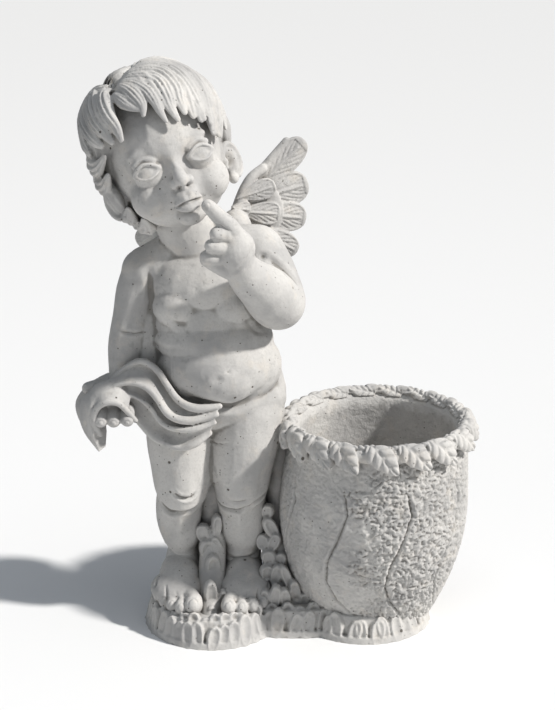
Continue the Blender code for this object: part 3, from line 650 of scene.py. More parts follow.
DIMPLES = (
    ((-57, -56, 274), (5, 8, 4), 1.8),
    ((-87, -36, 372), (16, 20, 26), 1.6),
    ((-60, -44, 308), (40, 20, 9), 1.2),
    ((-97, -34, 160), (15, 12, 16), -2.2),
    ((-97, -34, 131), (13, 10, 7), -2.6),
    ((-113, -30, 150), (5, 10, 12), 2.0),
    ((-81, -30, 152), (5, 10, 12), 1.6),
    ((-40, -34, 155), (17, 12, 17), -2.0),
    ((-16, -28, 152), (5, 10, 12), 1.6),
    ((-60, -24, 150), (5, 10, 12), 1.4),
    ((15, -44, 364), (2.6, 3, 2.2), 2.2),
    ((-31, -74, 366), (1.6, 2, 1.8), 1.6),
    ((1, -51, 334), (1.5, 2, 1.5), 1.4),
    ((-145, 12, 383), (2, 2, 2.4), 1.6),
    ((-80, -37, 360), (1.8, 2, 1.6), 1.4),
    ((-48, -53, 281), (1.4, 2, 1.2), 1.4),
)
BELLY_FOLD = (
    (-92, -41, 254), (-80, -42, 245), (-64, -46, 242),
    (-49, -42, 241), (-34, -39, 245), (-20, -36, 254),
)
CREASES = (
    (((-112, -37, 330), (-106, -40, 324), (-98, -41, 321), (-90, -41, 322)), 4.0, 2.0, 0.8),
    (((-125, -4, 295), (-116, -20, 297), (-104, -28, 298), (-92, -33, 300)), 2.4, 1.2, 0.4),
    (BELLY_FOLD, 5, 3.4, 1.0),
    (((-20, -36, 254), (-13, -34, 264), (-9, -32, 280)), 4.0, 1.6, 0.3),
    (((-30, -34, 326), (-22, -24, 311), (-12, -8, 304)), 2.6, 1.2, 0.4),
    (((-126, -14, 374), (-125, -15, 358), (-124, -14, 336)), 3.6, 2.6, 0.6),
    (((-157, -14, 311), (-150, -16, 310), (-141, -16, 309), (-133, -12, 308)), 1.5, 1.7, 0.5),
    (((-22, -84, 419), (-26, -88, 411), (-33, -90, 402), (-40, -86, 394)), 2.4, 1.8, 0.5),
    (((-24, -60, 412), (-15, -22, 391), (-1, -25, 384), (10, -27, 375), (20, -28, 362)), 3.4, 2.4, 0.8),
    (((-70, -18, 196), (-65, -13, 194), (-56, -28, 197), (-46, -32, 200)), 1.2, 1.2, 0.3),
    (((-66, -8, 150), (-57, -24, 154)), 1.1, 1.0, 0.2),
    (((-52, -29, 153), (-46, -32, 154)), 1.2, 0.9, 0.2),
    (((-104, -35, 147), (-97, -36, 142), (-90, -33, 140), (-82, -32, 144)), 1.8, 3.0, 1.3),
    (((-118, -20, 127), (-109, -27, 121), (-99, -30, 120), (-89, -27, 121), (-80, -20, 128)), 3.0, 3.8, 1.8),
    (((-65, 1, 133), (-58, -15, 126), (-46, -27, 123), (-38, -30, 123), (-28, -31, 127)), 2.4, 4.0, 2.0),
    (((-30, -31, 126), (-22, -29, 131), (-14, -23, 136), (-8, -12, 139)), 2.4, 3.6, 1.8),
    (((-51, -29, 137), (-40, -33, 136), (-30, -33, 138)), 2.2, 1.6, 0.8),
    (((-98, -30, 114), (-98, -28, 96)), 3.6, -1.8, 0.0),
    (((-39, -29, 121), (-39, -26, 113), (-38, -23, 104)), 2.4, -2.0, 0.4),
    (((-118, -4, 74), (-110, -14, 68), (-97, -18, 66), (-82, -4, 65)), 1.8, 1.8, 0.9),
    (((-60, -6, 68), (-45, -17, 66), (-28, -18, 68), (-16, -8, 71)), 1.8, 1.8, 0.9),
    (((-106, -28, 296), (-104, -37, 283), (-105, -40, 266)), 1.0, 0.5, 0.4),
)
body = grown(heaped(heap), 1.7, 6)
points, normals = points_of(body)
for place, radii, depth in DIMPLES:
    press(points, normals, place, radii, depth)
for path, width, depth, lip in CREASES:
    carve(points, normals, path, width, depth, lip)
put_points(body, points)
finished_piece("child_body", body, 84000, reach=(8, 36))

# The feet. Two fat bare feet, each with five toes side by side and a nail pressed into every toe.
FEET = (
    (-98, -5, ((-85, -73, 9.2), (-97, -70, 6.8), (-107, -62, 6.0), (-115.5, -51, 5.4), (-122, -38, 5.0))),
    (-35, 2, ((-49, -73, 8.0), (-36.5, -71, 7.0), (-25, -65, 6.5), (-15.5, -55, 5.8), (-8.5, -43, 5.2))),
)
heap = []
for heel, spread, toes in FEET:
    lump(heap, (heel, 15, 42), (18, 18, 17))
    limb(heap, [(heel, 4, 62, 17), (heel, 0, 50, 19.5), (heel + spread / 2, -10, 43, 18)])
    lump(heap, (heel + spread / 2, -18, 46), (21.5, 34, 19), Matrix.Rotation(math.radians(24), 3, "X"))
    lump(heap, (heel + spread, -30, 40), (27, 24, 16), Matrix.Rotation(0.22, 3, "X"))
    for x, y, radius in toes:
        back = (x * 0.8 + heel * 0.2, y + 25, 29 + radius, radius * 0.95)
        rod(heap, [back, (x, y + 1.8 * radius, BASE_TOP + radius * 1.2, radius)])
        ball = (radius * 1.06, radius * 1.2, radius * 1.2)
        lump(heap, (x, y + 1.2 * radius, BASE_TOP + radius * 1.1), ball)
feet = grown(heaped(heap), 1.0, 2)
points, normals = points_of(feet)
for heel, spread, toes in FEET:
    for (x, y, radius), (nx, ny, next_radius) in zip(toes, toes[1:]):
        gap_x, gap_y = (x * next_radius + nx * radius) / (radius + next_radius), (y + ny) / 2
        line = [(gap_x, gap_y + 15, 45), (gap_x, gap_y + 9, 41), (gap_x, gap_y + 3, 33)]
        carve(points, normals, line, 1.2, 2.2)
    for x, y, radius in toes:
        nail = Vector((x, y + radius * 0.2, BASE_TOP + radius * 1.5))
        arc = []
        for a in np.linspace(-1.9, 1.9, 7):
            up = math.cos(a) * radius
            arc.append(nail + Vector((math.sin(a) * radius * 0.55, up * 0.3, up * 0.75)))
        carve(points, normals, arc, 0.8, 1.0)
put_points(feet, points)
finished_piece("child_feet", feet, 45000, reach=(5, 22))

# The hands. The hanging one holds the cloth from below, so its three fingertips and its thumb show. The
# other is raised with one finger at the mouth and three curled into the palm.
heap = []
lump(heap, (-162, -26, 243), (19, 20, 14))
limb(heap, [(-157, -14, 256, 13), (-160, -22, 247, 13)])
limb(heap, [(-168, -16, 252, 8.5), (-179, -22, 255, 7.4), (-188, -24, 254, 6.4)], 3)
for tip, low in ((-174, 228), (-161.5, 228), (-148, 229)):
    limb(heap, [(tip * 0.8 - 32, -28, 240, 8), (tip, -42, 237, 7.2), (tip, -50, low + 1, 6.7)], 3)
limb(heap, [(-37, -75, 399, 16.5), (-40, -78, 410, 17.5), (-41, -79, 420, 15)])
lump(heap, (-38, -78, 411), (17, 14, 20), Matrix.Rotation(math.radians(18), 3, "Y"))
INDEX_FINGER = [
    (-40, -80, 426, 10),
    (-46, -85, 437, 9),
    (-54, -88, 446, 7.8),
    (-61, -90, 454, 7),
    (-65, -90.5, 458, 6.2),
]
limb(heap, INDEX_FINGER, 3)
CURLED = (
    ((-44, -84, 428), (-57, -92, 431), (-55, -80, 428)),
    ((-46, -85, 416), (-62, -91, 419), (-59, -78, 416)),
    ((-50, -82, 404.5), (-67, -87, 407), (-63, -74, 404)),
)
for root, knuckle, tip in CURLED:
    limb(heap, [(*root, 7.6), (*knuckle, 6.6), (*tip, 6.6)], 3)
    middle = Vector(root) * 0.45 + Vector(knuckle) * 0.55
    lump(heap, middle, (9.5, 7.4, 6.9), Matrix.Rotation(math.radians(-12), 3, "Y"))
    lump(heap, Vector(knuckle) + Vector((0.5, 3, -0.5)), (7, 7.6, 6.7))
limb(heap, [(-67, -83, 403, 6.4), (-57, -82, 397, 7.2), (-46, -78, 391, 8.4), (-35, -71, 386, 9.5)])
hands = grown(heaped(heap), 1.0, 3)
points, normals = points_of(hands)
for (root, knuckle, _), (low_root, low_knuckle, _) in zip(CURLED, CURLED[1:]):
    by_root = (Vector(root) + Vector(low_root)) / 2
    by_knuckle = (Vector(knuckle) + Vector(low_knuckle)) / 2
    line = [by_root + Vector((0, -8, 0)), by_knuckle + Vector((0, -8, 0)), by_knuckle + Vector((-8, 0, 0))]
    carve(points, normals, line, 1.2, 1.6)
carve(points, normals, [(-44, -92, 434), (-54, -97, 439), (-62, -92, 440)], 1.2, 1.5)
for tip in (-174, -161.5, -148):
    arc = [(tip + 3.6 * math.sin(a), -57, 228.5 + 3.4 * math.cos(a)) for a in np.linspace(-2.2, 2.2, 7)]
    carve(points, normals, arc, 0.8, 1.0)
nail_arc = [(-66 + 3.2 * math.sin(a), -96, 459 + 3.6 * math.cos(a)) for a in np.linspace(-2.2, 2.2, 7)]
carve(points, normals, nail_arc, 0.7, 0.7)
carve(points, normals, [(-20, -80, 420), (-26, -90, 410), (-33, -91, 402), (-41, -88, 393)], 2.2, 1.8)
put_points(hands, points)
finished_piece("child_hands", hands, 40000, reach=(5, 22))

# The cloth. A long cloth caught in the hanging hand, drawn over the hip in four deep folds, with one end
# falling from the hand. It is carved, not woven: thick, with rounded crests and an undercut below each.
FOLD_CRESTS = (
    (
        (-172, -30, 256), (-154, -33, 275), (-135, -36, 285), (-119, -40, 278),
        (-109, -44, 264), (-97, -49, 249), (-80, -55, 243), (-57, -54, 245),
    ),
    (
        (-176, -42, 255), (-161, -46, 263), (-143, -48, 267), (-128, -49, 262),
        (-118, -51, 251), (-107, -54, 236), (-88, -57, 231), (-60, -56, 237),
    ),
    (
        (-170, -43, 250), (-154, -45, 255), (-137, -46, 250), (-125, -48, 241),
        (-116, -50, 228), (-104, -54, 222), (-84, -57, 222), (-62, -55, 228),
    ),
    (
        (-158, -42, 249), (-147, -42, 236), (-136, -43, 222), (-124, -46, 210),
        (-111, -50, 204), (-96, -53, 201), (-82, -55, 206), (-67, -52, 216),
    ),
)


def sheet(columns, steps_along, steps_across, thick):
    """A thick sheet through columns of places: its front follows them and its back is smoothed."""
    lengthways = [course(column, steps_along) for column in columns]
    grid = np.array([course(row, steps_across) for row in zip(*lengthways)])
    back = grid[:, :, 1].copy()
    for _ in range(8):
        back[:, 1:-1] = (back[:, :-2] + back[:, 1:-1] + back[:, 2:]) / 3
    behind = grid.copy()
    behind[:, :, 1] = np.maximum(back, grid[:, :, 1]) + thick
    work = bmesh.new()
    rows, across = grid.shape[0] - 1, grid.shape[1] - 1
    bmesh.ops.create_grid(work, x_segments=across, y_segments=rows, size=1)
    index = {v: (round((v.co.y + 1) * rows / 2), round((v.co.x + 1) * across / 2)) for v in work.verts}
    copy = bmesh.ops.duplicate(work, geom=work.verts[:] + work.edges[:] + work.faces[:])
    for v, place in index.items():
        v.co = grid[place]
        copy["vert_map"][v].co = behind[place]
    bmesh.ops.bridge_loops(work, edges=[e for e in work.edges if e.is_boundary])
    bmesh.ops.recalc_face_normals(work, faces=work.faces)
    return as_mesh(work)


crests = [np.array(crest, float) for crest in FOLD_CRESTS]
valley = np.array([1, 5, 8, 10, 11, 10, 7, 1])[:, None] * (0, 1, 0)
columns = [crests[0] + (0, 7, 2)]
for upper, lower in zip(crests, crests[1:]):
    columns += [upper]
    for share, depth in ((0.16, 0.8), (0.36, 1.0), (0.62, 0.75), (0.86, 0.2)):
        columns.append(upper * (1 - share) + lower * share + valley * depth)
columns += [crests[3], crests[3] + (0, 5, -3), crests[3] + (0, 11, 2)]
heap = [sheet(columns, 8, 3, 5)]
CREST_WEIGHTS = (0.3, 0.6, 0.8, 1, 1, 1.1, 1.3, 0.9)
for crest, radius in zip(crests, (3.4, 3.3, 2.6, 3.2)):
    rows = [(x, y + radius * 0.8, z, radius * share) for (x, y, z), share in zip(crest, CREST_WEIGHTS)]
    limb(heap, rows)
HOOD = (
    ((-190, -30, 248), (-181, -33, 260), (-168, -35, 266), (-155, -34, 268), (-145, -34, 262)),
    ((-191, -40, 238), (-183, -45, 252), (-170, -49, 259), (-156, -49, 260), (-145, -45, 252)),
    ((-186, -48, 226), (-180, -53, 242), (-169, -57, 251), (-156, -57, 251), (-147, -53, 240)),
)
heap.append(sheet(HOOD, 6, 5, 5))
ARCH = (
    (-175, -48, 214, 2.6),
    (-181, -51, 230, 3.2),
    (-177, -54, 244, 3.4),
    (-167, -57, 251, 3.4),
    (-156, -57, 250, 3.2),
    (-148, -54, 241, 3.0),
    (-140, -49, 229, 2.6),
)
limb(heap, ARCH)
TONGUE = (
    (
        (-158, -38, 256), (-178, -34, 258), (-193, -34, 247),
        (-197, -36, 230), (-192, -38, 212), (-180, -42, 196),
    ),
    (
        (-160, -46, 258), (-178, -44, 256), (-188, -46, 246),
        (-191, -47, 230), (-187, -46, 213), (-178, -45, 195),
    ),
    (
        (-162, -50, 255), (-175, -50, 252), (-183, -52, 243),
        (-185, -53, 230), (-182, -51, 214), (-177, -47, 195),
    ),
    (
        (-164, -44, 250), (-171, -42, 247), (-177, -41, 240),
        (-178, -41, 228), (-175, -42, 213), (-174, -45, 197),
    ),
    (
        (-160, -36, 244), (-166, -32, 240), (-170, -30, 234),
        (-171, -31, 224), (-170, -36, 212), (-171, -42, 198),
    ),
)
heap.append(sheet(TONGUE, 7, 4, 4))
BEHIND = (
    (
        (-146, -18, 272), (-170, -10, 264), (-190, -10, 252),
        (-202, -12, 236), (-200, -16, 220), (-190, -22, 206),
    ),
    (
        (-146, -28, 262), (-168, -22, 255), (-186, -22, 245),
        (-196, -22, 232), (-194, -24, 218), (-186, -27, 206),
    ),
    (
        (-146, -20, 250), (-162, -14, 243), (-176, -14, 236),
        (-184, -16, 226), (-184, -20, 215), (-181, -26, 206),
    ),
)
heap.append(sheet(BEHIND, 7, 5, 5))
INNER_FALL = (
    ((-146, -14, 270), (-164, -6, 260), (-172, 2, 244), (-169, 8, 228)),
    ((-144, -24, 262), (-158, -18, 251), (-163, -10, 238), (-161, -2, 226)),
    ((-140, -18, 252), (-150, -12, 243), (-153, -4, 233), (-152, 4, 224)),
)
heap.append(sheet(INNER_FALL, 7, 5, 6))
finished_piece("draped_cloth", grown(heaped(heap), 1.0, 2), 70000, reach=(5, 26))

# The wings. Short rounded feathers in two rows behind a thick front edge, each with a shaft and slanting
# barbs cut into it. The child's left wing shows; the right one is folded back and made the same.
WING_MIDDLE = -72
HIDDEN_SWING = math.radians(32)
FLIGHT_FEATHERS = (
    ((-40, 60, 420), (27.5, 76, 483), 29),
    ((-34, 60, 424), (31, 76, 439), 34),
    ((-32, 59, 414), (29, 74, 404), 30),
    ((-28, 57, 402), (20, 69, 371), 25),
)
COVERT_FEATHERS = (
    ((-42, 50, 409), (-8, 60, 399), 18),
    ((-44, 52, 425), (-9, 61, 427), 17),
    ((-36, 50, 398), (-1, 60, 386), 20),
    ((-40, 50, 418), (3, 62, 412), 24),
    ((-42, 52, 430), (-2, 62, 442), 21),
    ((-46, 44, 410), (-31, 50, 404), 16),
    ((-46, 46, 424), (-27, 52, 420), 16),
)
WING_ARM = ((-41, 46, 416, 6.5), (-34, 51, 436, 5.6), (-26, 56, 449, 5.2), (-15, 62, 457, 5))


def feather_relief(length, width):
    def relief(side, along):
        edge = max(abs(side), (along - 0.5) * 2)
        barb = 0.5 + 0.5 * math.cos(math.tau * (along * length * 0.62 - abs(side) * width * 0.7) / 5.6)
        shaft = 0.9 * math.exp(-((side / 0.07) ** 2)) - 0.9 * math.exp(-(((abs(side) - 0.17) / 0.06) ** 2))
        barbs = 1.9 * barb**4 * (0.14 < abs(side) < 0.84) * (0.08 < along < 0.93)
        return shaft * (along < 0.9) - barbs + 0.7 * (edge > 0.86)

    return relief


def wing(name, triangles, hidden):
    heap = []

    def turned(x, y, z):
        if not hidden:
            return Vector((x, y, z))
        root_x, root_y = WING_ARM[0][:2]
        away = Matrix.Rotation(HIDDEN_SWING, 2) @ Vector((x - root_x, y - root_y))
        return Vector((2 * WING_MIDDLE - root_x - away.x, root_y + away.y, z))

    for layer, feathers in enumerate((FLIGHT_FEATHERS, COVERT_FEATHERS)):
        for k, (root, tip, width) in enumerate(feathers):
            start, end = turned(*root), turned(*tip)
            length = (end - start).length
            rows = round(length / 0.75)
            relief = feather_relief(length, width)
            feather = leaf_form(length, width, 8.5 - 2 * layer, 0.72, 0.42, relief, rows, 44)
            lift = Vector((0, -2.2 * k if layer == 0 else -2.5 - 1.3 * k, 0))
            lay(heap, feather, start + lift, end - start, (-0.12 if hidden else 0.12, -1, 0.05))
            bpy.data.meshes.remove(feather)
    limb(heap, [(*turned(x, y, z), r) for x, y, z, r in WING_ARM])
    rod(heap, [(*turned(-22, 62, 448), 5), (*turned(9, 75, 482), 4.2)])
    lump(heap, turned(-42, 34, 400), (17, 22, 22))
    lump(heap, turned(-18, 60, 414), (24, 6.5, 30))
    finished_piece(name, grown(heaped(heap), 0.85, 0), triangles, reach=(4, 18))


wing("wing_left", 60000, hidden=False)
wing("wing_right", 36000, hidden=True)

# The head. A calm child's face with full cheeks, a small nose, closed lips and blank eyes between thick
# lids. It leans to the child's right and looks up a little.
HEAD_PLACE = Vector((-106.6, -15.7, 482.7))
HEAD_TURN = (
    Matrix.Rotation(math.radians(9), 4, "Z")
    @ Matrix.Rotation(math.radians(-15), 4, "X")
    @ Matrix.Rotation(math.radians(-18), 4, "Y")
)
HEAD_MATRIX = Matrix.Translation(HEAD_PLACE * MM) @ HEAD_TURN
EYE_X, EYE_Y, EYE_Z, EYE_ROUND = 24.5, -42.5, -4, 15.5
EAR_X, EAR_Y, EAR_Z = 58.5, 2, -20


def on_eye(side, across, up, out):
    """A place over the eyeball, in degrees across from its middle and up."""
    a, b = math.radians(across), math.radians(up)
    way = Vector((math.sin(a) * math.cos(b), -math.cos(a) * math.cos(b), math.sin(b)))
    turn = Matrix.Rotation(side * 0.22, 3, "Z")
    return Vector((side * EYE_X, EYE_Y, EYE_Z)) + turn @ way * (EYE_ROUND + out)


SKULL = (
    ((0, 6, 14), (57, 67, 75)),
    ((0, -14, -27), (46, 43, 37)),
    ((0, -20, 26), (47, 39, 36)),
    ((0, -46, -54), (15, 13, 11)),
    ((0, -57, -37), (14, 9, 10)),
)
UPPER_LIP = ((-15, -54.5, -43, 1.4), (-9, -60.5, -40.2, 3.2), (-3, -64.2, -38.6, 3.6), (0, -64.2, -39.3, 3.3))
LOWER_LIP = ((-13, -55.5, -44.4, 1.4), (-7, -60.8, -46.6, 3.6), (0, -62.8, -47.6, 4.2))
MOUTH = ((-15, -56, -43), (-9, -63, -42.6), (0, -67, -43.2), (9, -63, -42.6), (15, -56, -43))
heap = []
for place, radii in SKULL:
    lump(heap, place, radii)
limb(heap, [(0, -54, 8, 5), (0, -57, -6, 5), (0, -62, -16, 6)], 3)
for side in (-1, 1):
    lump(heap, (side * 26, -30, -28), (23, 23, 22))
    lump(heap, (side * 22, -46, 14), (18, 9, 7))
skull = grown(heaped(heap), 1.7, 14)
points, normals = points_of(skull)
for side in (-1, 1):
    press(points, normals, (side * 23, -57, -2), (16, 18, 11), 4.6)
    press(points, normals, (side * 11, -57, -2), (5, 10, 8), 1.6)
    press(points, normals, (side * 16, -60, -36), (5, 10, 8), 1.2)
press(points, normals, (0, -64, -50), (13, 10, 3.4), 1.8)
put_points(skull, points)
skull.transform(Matrix.Scale(1 / MM, 4))

heap = [skull]
for side in (-1, 1):
    lump(heap, (side * EYE_X, EYE_Y, EYE_Z), EYE_ROUND)
    spans = np.linspace(-50, 50, 13)
    for up, out, radius in ((28, 0.9, 2.4), (-22, 0.4, 1.9)):
        rod(heap, [(*on_eye(side, a, up * math.cos(math.radians(a * 1.72)) + 1, out), radius) for a in spans])
    brow = [on_eye(side, a, 47 * math.cos(math.radians(a * 1.05)) + 6, 0.5) for a in np.linspace(-46, 46, 9)]
    rod(heap, [(*place, 3.4) for place in brow])
    lump(heap, (side * 7.6, -60.5, -22.5), (4.8, 6.5, 5))
    across, front = Vector((side * 0.8, 0.6, 0)), Vector((side * 0.6, -0.8, 0))
    ear = Vector((side * EAR_X, EAR_Y, EAR_Z))
    lump(heap, ear - front * 2, (9, 7, 15))
    helix, inner = [], []
    for a in np.radians(np.linspace(-78, 198, 15)):
        place = ear + across * 10 * math.cos(a) + front * 2 + Vector((0, 0, 16.5 * math.sin(a)))
        helix.append((*place, 2.8))
    for a in np.radians(np.linspace(-60, 125, 9)):
        place = ear + across * (5 * math.cos(a) - 1) + front * 2 + Vector((0, 0, 11 * math.sin(a)))
        inner.append((*place, 1.9))
    rod(heap, helix)
    rod(heap, inner)
    lump(heap, ear - across * 4 + Vector((0, 0, -17)), (5, 6, 6))
    lump(heap, ear - across * 8 + front * 3, (3, 3.4, 4))
limb(heap, [(0, -61, -14, 6), (0, -66.5, -19.5, 6.8), (0, -66.5, -21.5, 6.6)], 3)
lump(heap, (0, -62, -27), (3, 5, 3.4))
for half_lip in (UPPER_LIP, LOWER_LIP):
    other_half = [(-x, *rest) for x, *rest in half_lip[-2::-1]]
    limb(heap, [*half_lip, *other_half], 3)
head = grown(heaped(heap), 1.05, 3)
points, normals = points_of(head)
carve(points, normals, MOUTH, 1.1, 2.0, 0.3)
carve(points, normals, [(0, -68, -29), (0, -67, -35)], 2.0, 1.0, 0.4)
for side in (-1, 1):
    press(points, normals, (side * 4.0, -66.5, -27.2), (2.3, 3.5, 2.0), 2.6)
    press(points, normals, (side * 15.5, -55, -43), (2.4, 5, 2.4), 1.6)
    press(points, normals, (side * (EAR_X - 1), EAR_Y - 4, EAR_Z - 1), (5, 5, 7), 3.4)
    for up in (21, -15):
        rim = [on_eye(side, a, up * math.cos(math.radians(a * 1.72)) + 1, 1) for a in np.linspace(-44, 44, 7)]
        carve(points, normals, rim, 0.9, 0.9)
    crease = [on_eye(side, a, 36 * math.cos(math.radians(a * 1.5)) + 3, 2) for a in np.linspace(-42, 42, 7)]
    carve(points, normals, crease, 1.3, 1.3, 0.3)
    carve(points, normals, [(side * 9.5, -64, -17), (side * 13, -60, -23), (side * 11, -62, -28)], 1.5, 1.2)
put_points(head, points)
head.transform(HEAD_MATRIX)
finished_piece("child_head", head, 80000, reach=(5, 24))

# The hair. Thick wavy locks that fall from a parting on the child's right, each with a few strands cut
# along it. They were built up lock by lock over a cap.
HAIR_MIDDLE, HAIR_RADII = Vector((0, 6, 14)), Vector((70, 82, 86))
FRINGE = (
    (((-44, 56), (-23, 49), (-13, 38), (-10, 30), (-12, 22)), 5.5),
    (((-42, 50), (-30, 41), (-21, 33), (-13, 27)), 4.6),
    (((-43, 58), (-14, 53), (0, 41), (3, 31), (3, 22), (5, 13)), 5),
    (((-42, 61), (-5, 56), (13, 45), (14, 31), (13, 22), (15, 11)), 7),
    (((-38, 65), (2, 62), (26, 51), (28, 35), (24, 24), (23, 14)), 8),
    (((-29, 70), (26, 66), (44, 49), (42, 31), (40, 18), (39, 6)), 8),
    (((-8, 74), (56, 66), (66, 46), (57, 27), (50, 14), (44, 2)), 8.5),
    (((38, 76), (78, 57), (80, 35), (69, 18), (56, 5), (48, -7)), 8.5),
    (((76, 69), (88, 46), (88, 27), (84, 10), (68, -4)), 8.5),
)
RIGHT_SIDE = (
    (((-43, 57), (-55, 51), (-51, 41), (-44, 30), (-37, 20), (-35, 11)), 7),
    (((-48, 59), (-84, 55), (-71, 43), (-60, 31), (-50, 21), (-43, 12)), 8.5),
    (((-60, 61), (-97, 52), (-96, 42), (-86, 32), (-66, 20), (-55, 13)), 10),
    (((-91, 62), (-108, 50), (-108, 38), (-102, 27), (-96, 18), (-80, 11)), 11.5),
    (((-110, 58), (-126, 44), (-124, 28), (-114, 14), (-98, 6)), 11),
)
CURLS = (
    (((-110, 17), (-98, 6), (-76, 2), (-58, 8)), 7.5),
    (((-113, 4), (-100, -8), (-78, -11), (-62, -4)), 7.5),
    (((-114, -8), (-108, -20), (-94, -24), (-80, -17)), 8),
    (((-112, -22), (-102, -35), (-82, -38), (-66, -31)), 8),
    (((-112, -36), (-102, -49), (-82, -53), (-62, -44)), 8.5),
    (((108, 10), (116, -4), (110, -16), (98, -20)), 7),
    (((118, -14), (126, -28), (112, -40), (98, -36)), 7),
)
BELOW = (
    (((-30, 60), (4, 55), (8, 38), (8, 24)), 9),
    (((0, 66), (34, 50), (36, 34), (33, 21), (30, 10)), 8.5),
    (((24, 68), (48, 50), (46, 32), (40, 16), (36, 6)), 8.5),
    (((36, 64), (58, 44), (56, 26), (50, 8), (45, -5)), 9),
    (((60, 60), (76, 40), (70, 20), (62, 6), (54, -8)), 9),
    (((-48, 52), (-66, 44), (-60, 32), (-46, 20)), 8.5),
)
CROWN = ((((40, 76), (96, 62), (98, 40), (92, 18)), 9.5), (((60, 80), (130, 60), (118, 38), (108, 16)), 9.5))
BACK_ROWS = ((88, 36, 10), (58, 4, 10), (22, -22, 9.5), (-4, -44, 9))
BACK_LOCKS = 11
PARTING = ((-41, 54), (-60, 64), (-91, 65), (-125, 56))


def on_hair(longitude, latitude, sink):
    """A place on the hair's oval, sink under its surface. Longitude 0 is over the nose."""
    lon, lat = math.radians(longitude), math.radians(latitude)
    way = Vector((math.cos(lat) * math.sin(lon), -math.cos(lat) * math.cos(lon), math.sin(lat)))
    return HAIR_MIDDLE + Vector((r - sink) * w for r, w in zip(HAIR_RADII, way))


def lock(path, radius, sink=0.42, tip=0.2, strands=4):
    """One lock of hair: a flattened bar with sharp furrows between its strands, thick in the middle."""
    route = course([on_hair(lon, lat, radius * sink) for lon, lat in path], 8)
    count = len(route)
    share = np.linspace(0, 1, count)
    way = np.gradient(route, axis=0)
    way /= np.linalg.norm(way, axis=1)[:, None]
    out = (route - np.array(HAIR_MIDDLE)) / np.array(HAIR_RADII) ** 2
    out -= way * (out * way).sum(axis=1)[:, None]
    out /= np.linalg.norm(out, axis=1)[:, None]
    across = np.cross(way, out)
    route -= out * (radius * 0.5 * np.clip(1 - share * 9, 0, 1))[:, None]
    full = np.minimum(0.55 + 1.1 * share, np.minimum(1, tip + 1.55 * (1 - share)))
    full[[0, -1]] *= 0.15
    work = bmesh.new()
    bmesh.ops.create_grid(work, x_segments=60, y_segments=count - 1, size=1)
    for v in work.verts:
        turn, row = (v.co.x + 1) * math.pi, round((v.co.y + 1) / 2 * (count - 1))
        side, up = math.cos(turn), math.sin(turn)
        if up > 0:
            strand = abs(math.sin(strands * math.pi * (side * (1 + 0.15 * math.sin(5 * share[row])) + 1) / 2))
            up = 1.02 * up - 0.55 * (1 - strand**0.9) * up**0.5
        size = radius * full[row]
        v.co = Vector(route[row] + across[row] * side * 1.5 * size + out[row] * up * size)
    bmesh.ops.remove_doubles(work, verts=work.verts, dist=0.01)
    bmesh.ops.holes_fill(work, edges=[e for e in work.edges if e.is_boundary])
    bmesh.ops.recalc_face_normals(work, faces=work.faces)
    return as_mesh(work)


heap = []
lump(heap, (0, 17, 25), (63, 68, 70))
lump(heap, (0, 21, 32), (61, 62, 63))
lump(heap, (0, 24, -14), (58, 52, 50))
for path, radius in FRINGE + CROWN:
    heap.append(lock(path, radius))
for path, radius in RIGHT_SIDE:
    heap.append(lock(path, radius, sink=0.05))
for path, radius in CURLS:
    heap.append(lock(path, radius, strands=3))
for path, radius in BELOW:
    heap.append(lock(path, radius, sink=0.62, strands=3))
for row, (top, bottom, radius) in enumerate(BACK_ROWS):
    upper, lower = (top * 2 + bottom) / 3, (top + bottom * 2) / 3
    for i in range(BACK_LOCKS):
        lon = 98 + 166 * (i + 0.5 * (row % 2)) / (BACK_LOCKS - 1)
        swing = 9 * spot(5 * i + 13 * row) - 4.5
        path = [(lon, top), (lon + swing, upper), (lon - 0.6 * swing, lower), (lon - swing, bottom)]
        heap.append(lock(path, radius, sink=0.5 + 0.3 * spot(i + 3 * row), tip=0.3))
hair = grown(heaped(heap), 0.95, 0)
points, normals = points_of(hair)
parting = [on_hair(lon, lat, 0) for lon, lat in PARTING]
carve(points, normals, parting, 7, 7)
put_points(hair, points)
hair.transform(HEAD_MATRIX)
finished_piece("child_hair", hair, 150000, reach=(4, 20))

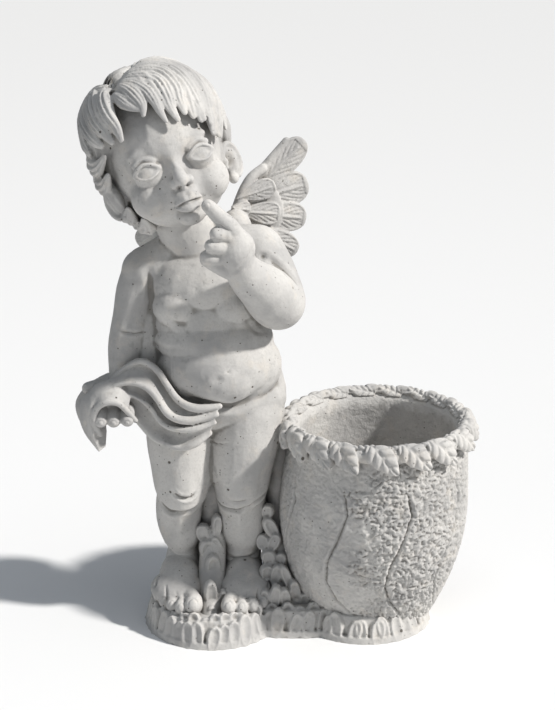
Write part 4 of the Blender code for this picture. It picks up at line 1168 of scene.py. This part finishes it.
# Floor, light and camera. Not part of the casting: a plain pale floor, a sun from the viewer's right, a
# wide soft lamp above, a weak one from the left, and the photograph's view of it.
LENS, SENSOR = 106.9, 36
CAMERA_PLACE, CAMERA_PITCH = (0, -2.0, 0.95), 18.5
LIT_PLACE = Vector((0, 0, 0.3))
floor_sheet = bmesh.new()
bmesh.ops.create_grid(floor_sheet, x_segments=1, y_segments=1, size=6)
floor_mesh = as_mesh(floor_sheet)
floor = bpy.data.objects.new("studio_floor", floor_mesh)
bpy.context.scene.collection.objects.link(floor)
paper = bpy.data.materials.new("pale_paper")
paper.use_nodes = True
paper.node_tree.nodes["Principled BSDF"].inputs["Base Color"].default_value = (0.82, 0.82, 0.82, 1)
paper.node_tree.nodes["Principled BSDF"].inputs["Roughness"].default_value = 0.9
floor_mesh.materials.append(paper)

scene = bpy.context.scene
scene.view_settings.view_transform = "Standard"
world = bpy.data.worlds.new("studio")
scene.world = world
world.use_nodes = True
world.node_tree.nodes["Background"].inputs["Color"].default_value = (0.78, 0.88, 1.0, 1)
world.node_tree.nodes["Background"].inputs["Strength"].default_value = 0.19


def lamp(kind, name, place, strength, colour, **shape):
    """A lamp at place that shines on the statue."""
    light = bpy.data.lights.new(name, kind)
    light.energy = strength
    light.color = colour
    for key, value in shape.items():
        setattr(light, key, value)
    holder = bpy.data.objects.new(name, light)
    holder.location = place
    holder.rotation_euler = (LIT_PLACE - Vector(place)).to_track_quat("-Z", "Y").to_euler()
    scene.collection.objects.link(holder)


lamp("SUN", "key_lamp", (2.28, -0.72, 2.35), 4.3, (1.0, 0.975, 0.94), angle=math.radians(4))
lamp("AREA", "top_lamp", (0.15, -0.35, 2.6), 14, (0.93, 0.96, 1.0), size=1.8)
lamp("AREA", "fill_lamp", (-1.6, -2.4, 1.0), 4, (0.9, 0.95, 1.0), size=1.6)

eye = bpy.data.cameras.new("photo_view")
eye.lens = LENS
eye.sensor_width = SENSOR
viewer = bpy.data.objects.new("photo_view", eye)
viewer.location = CAMERA_PLACE
viewer.rotation_euler = (math.radians(90 - CAMERA_PITCH), 0, 0)
scene.collection.objects.link(viewer)
scene.camera = viewer

bpy.context.view_layer.update()
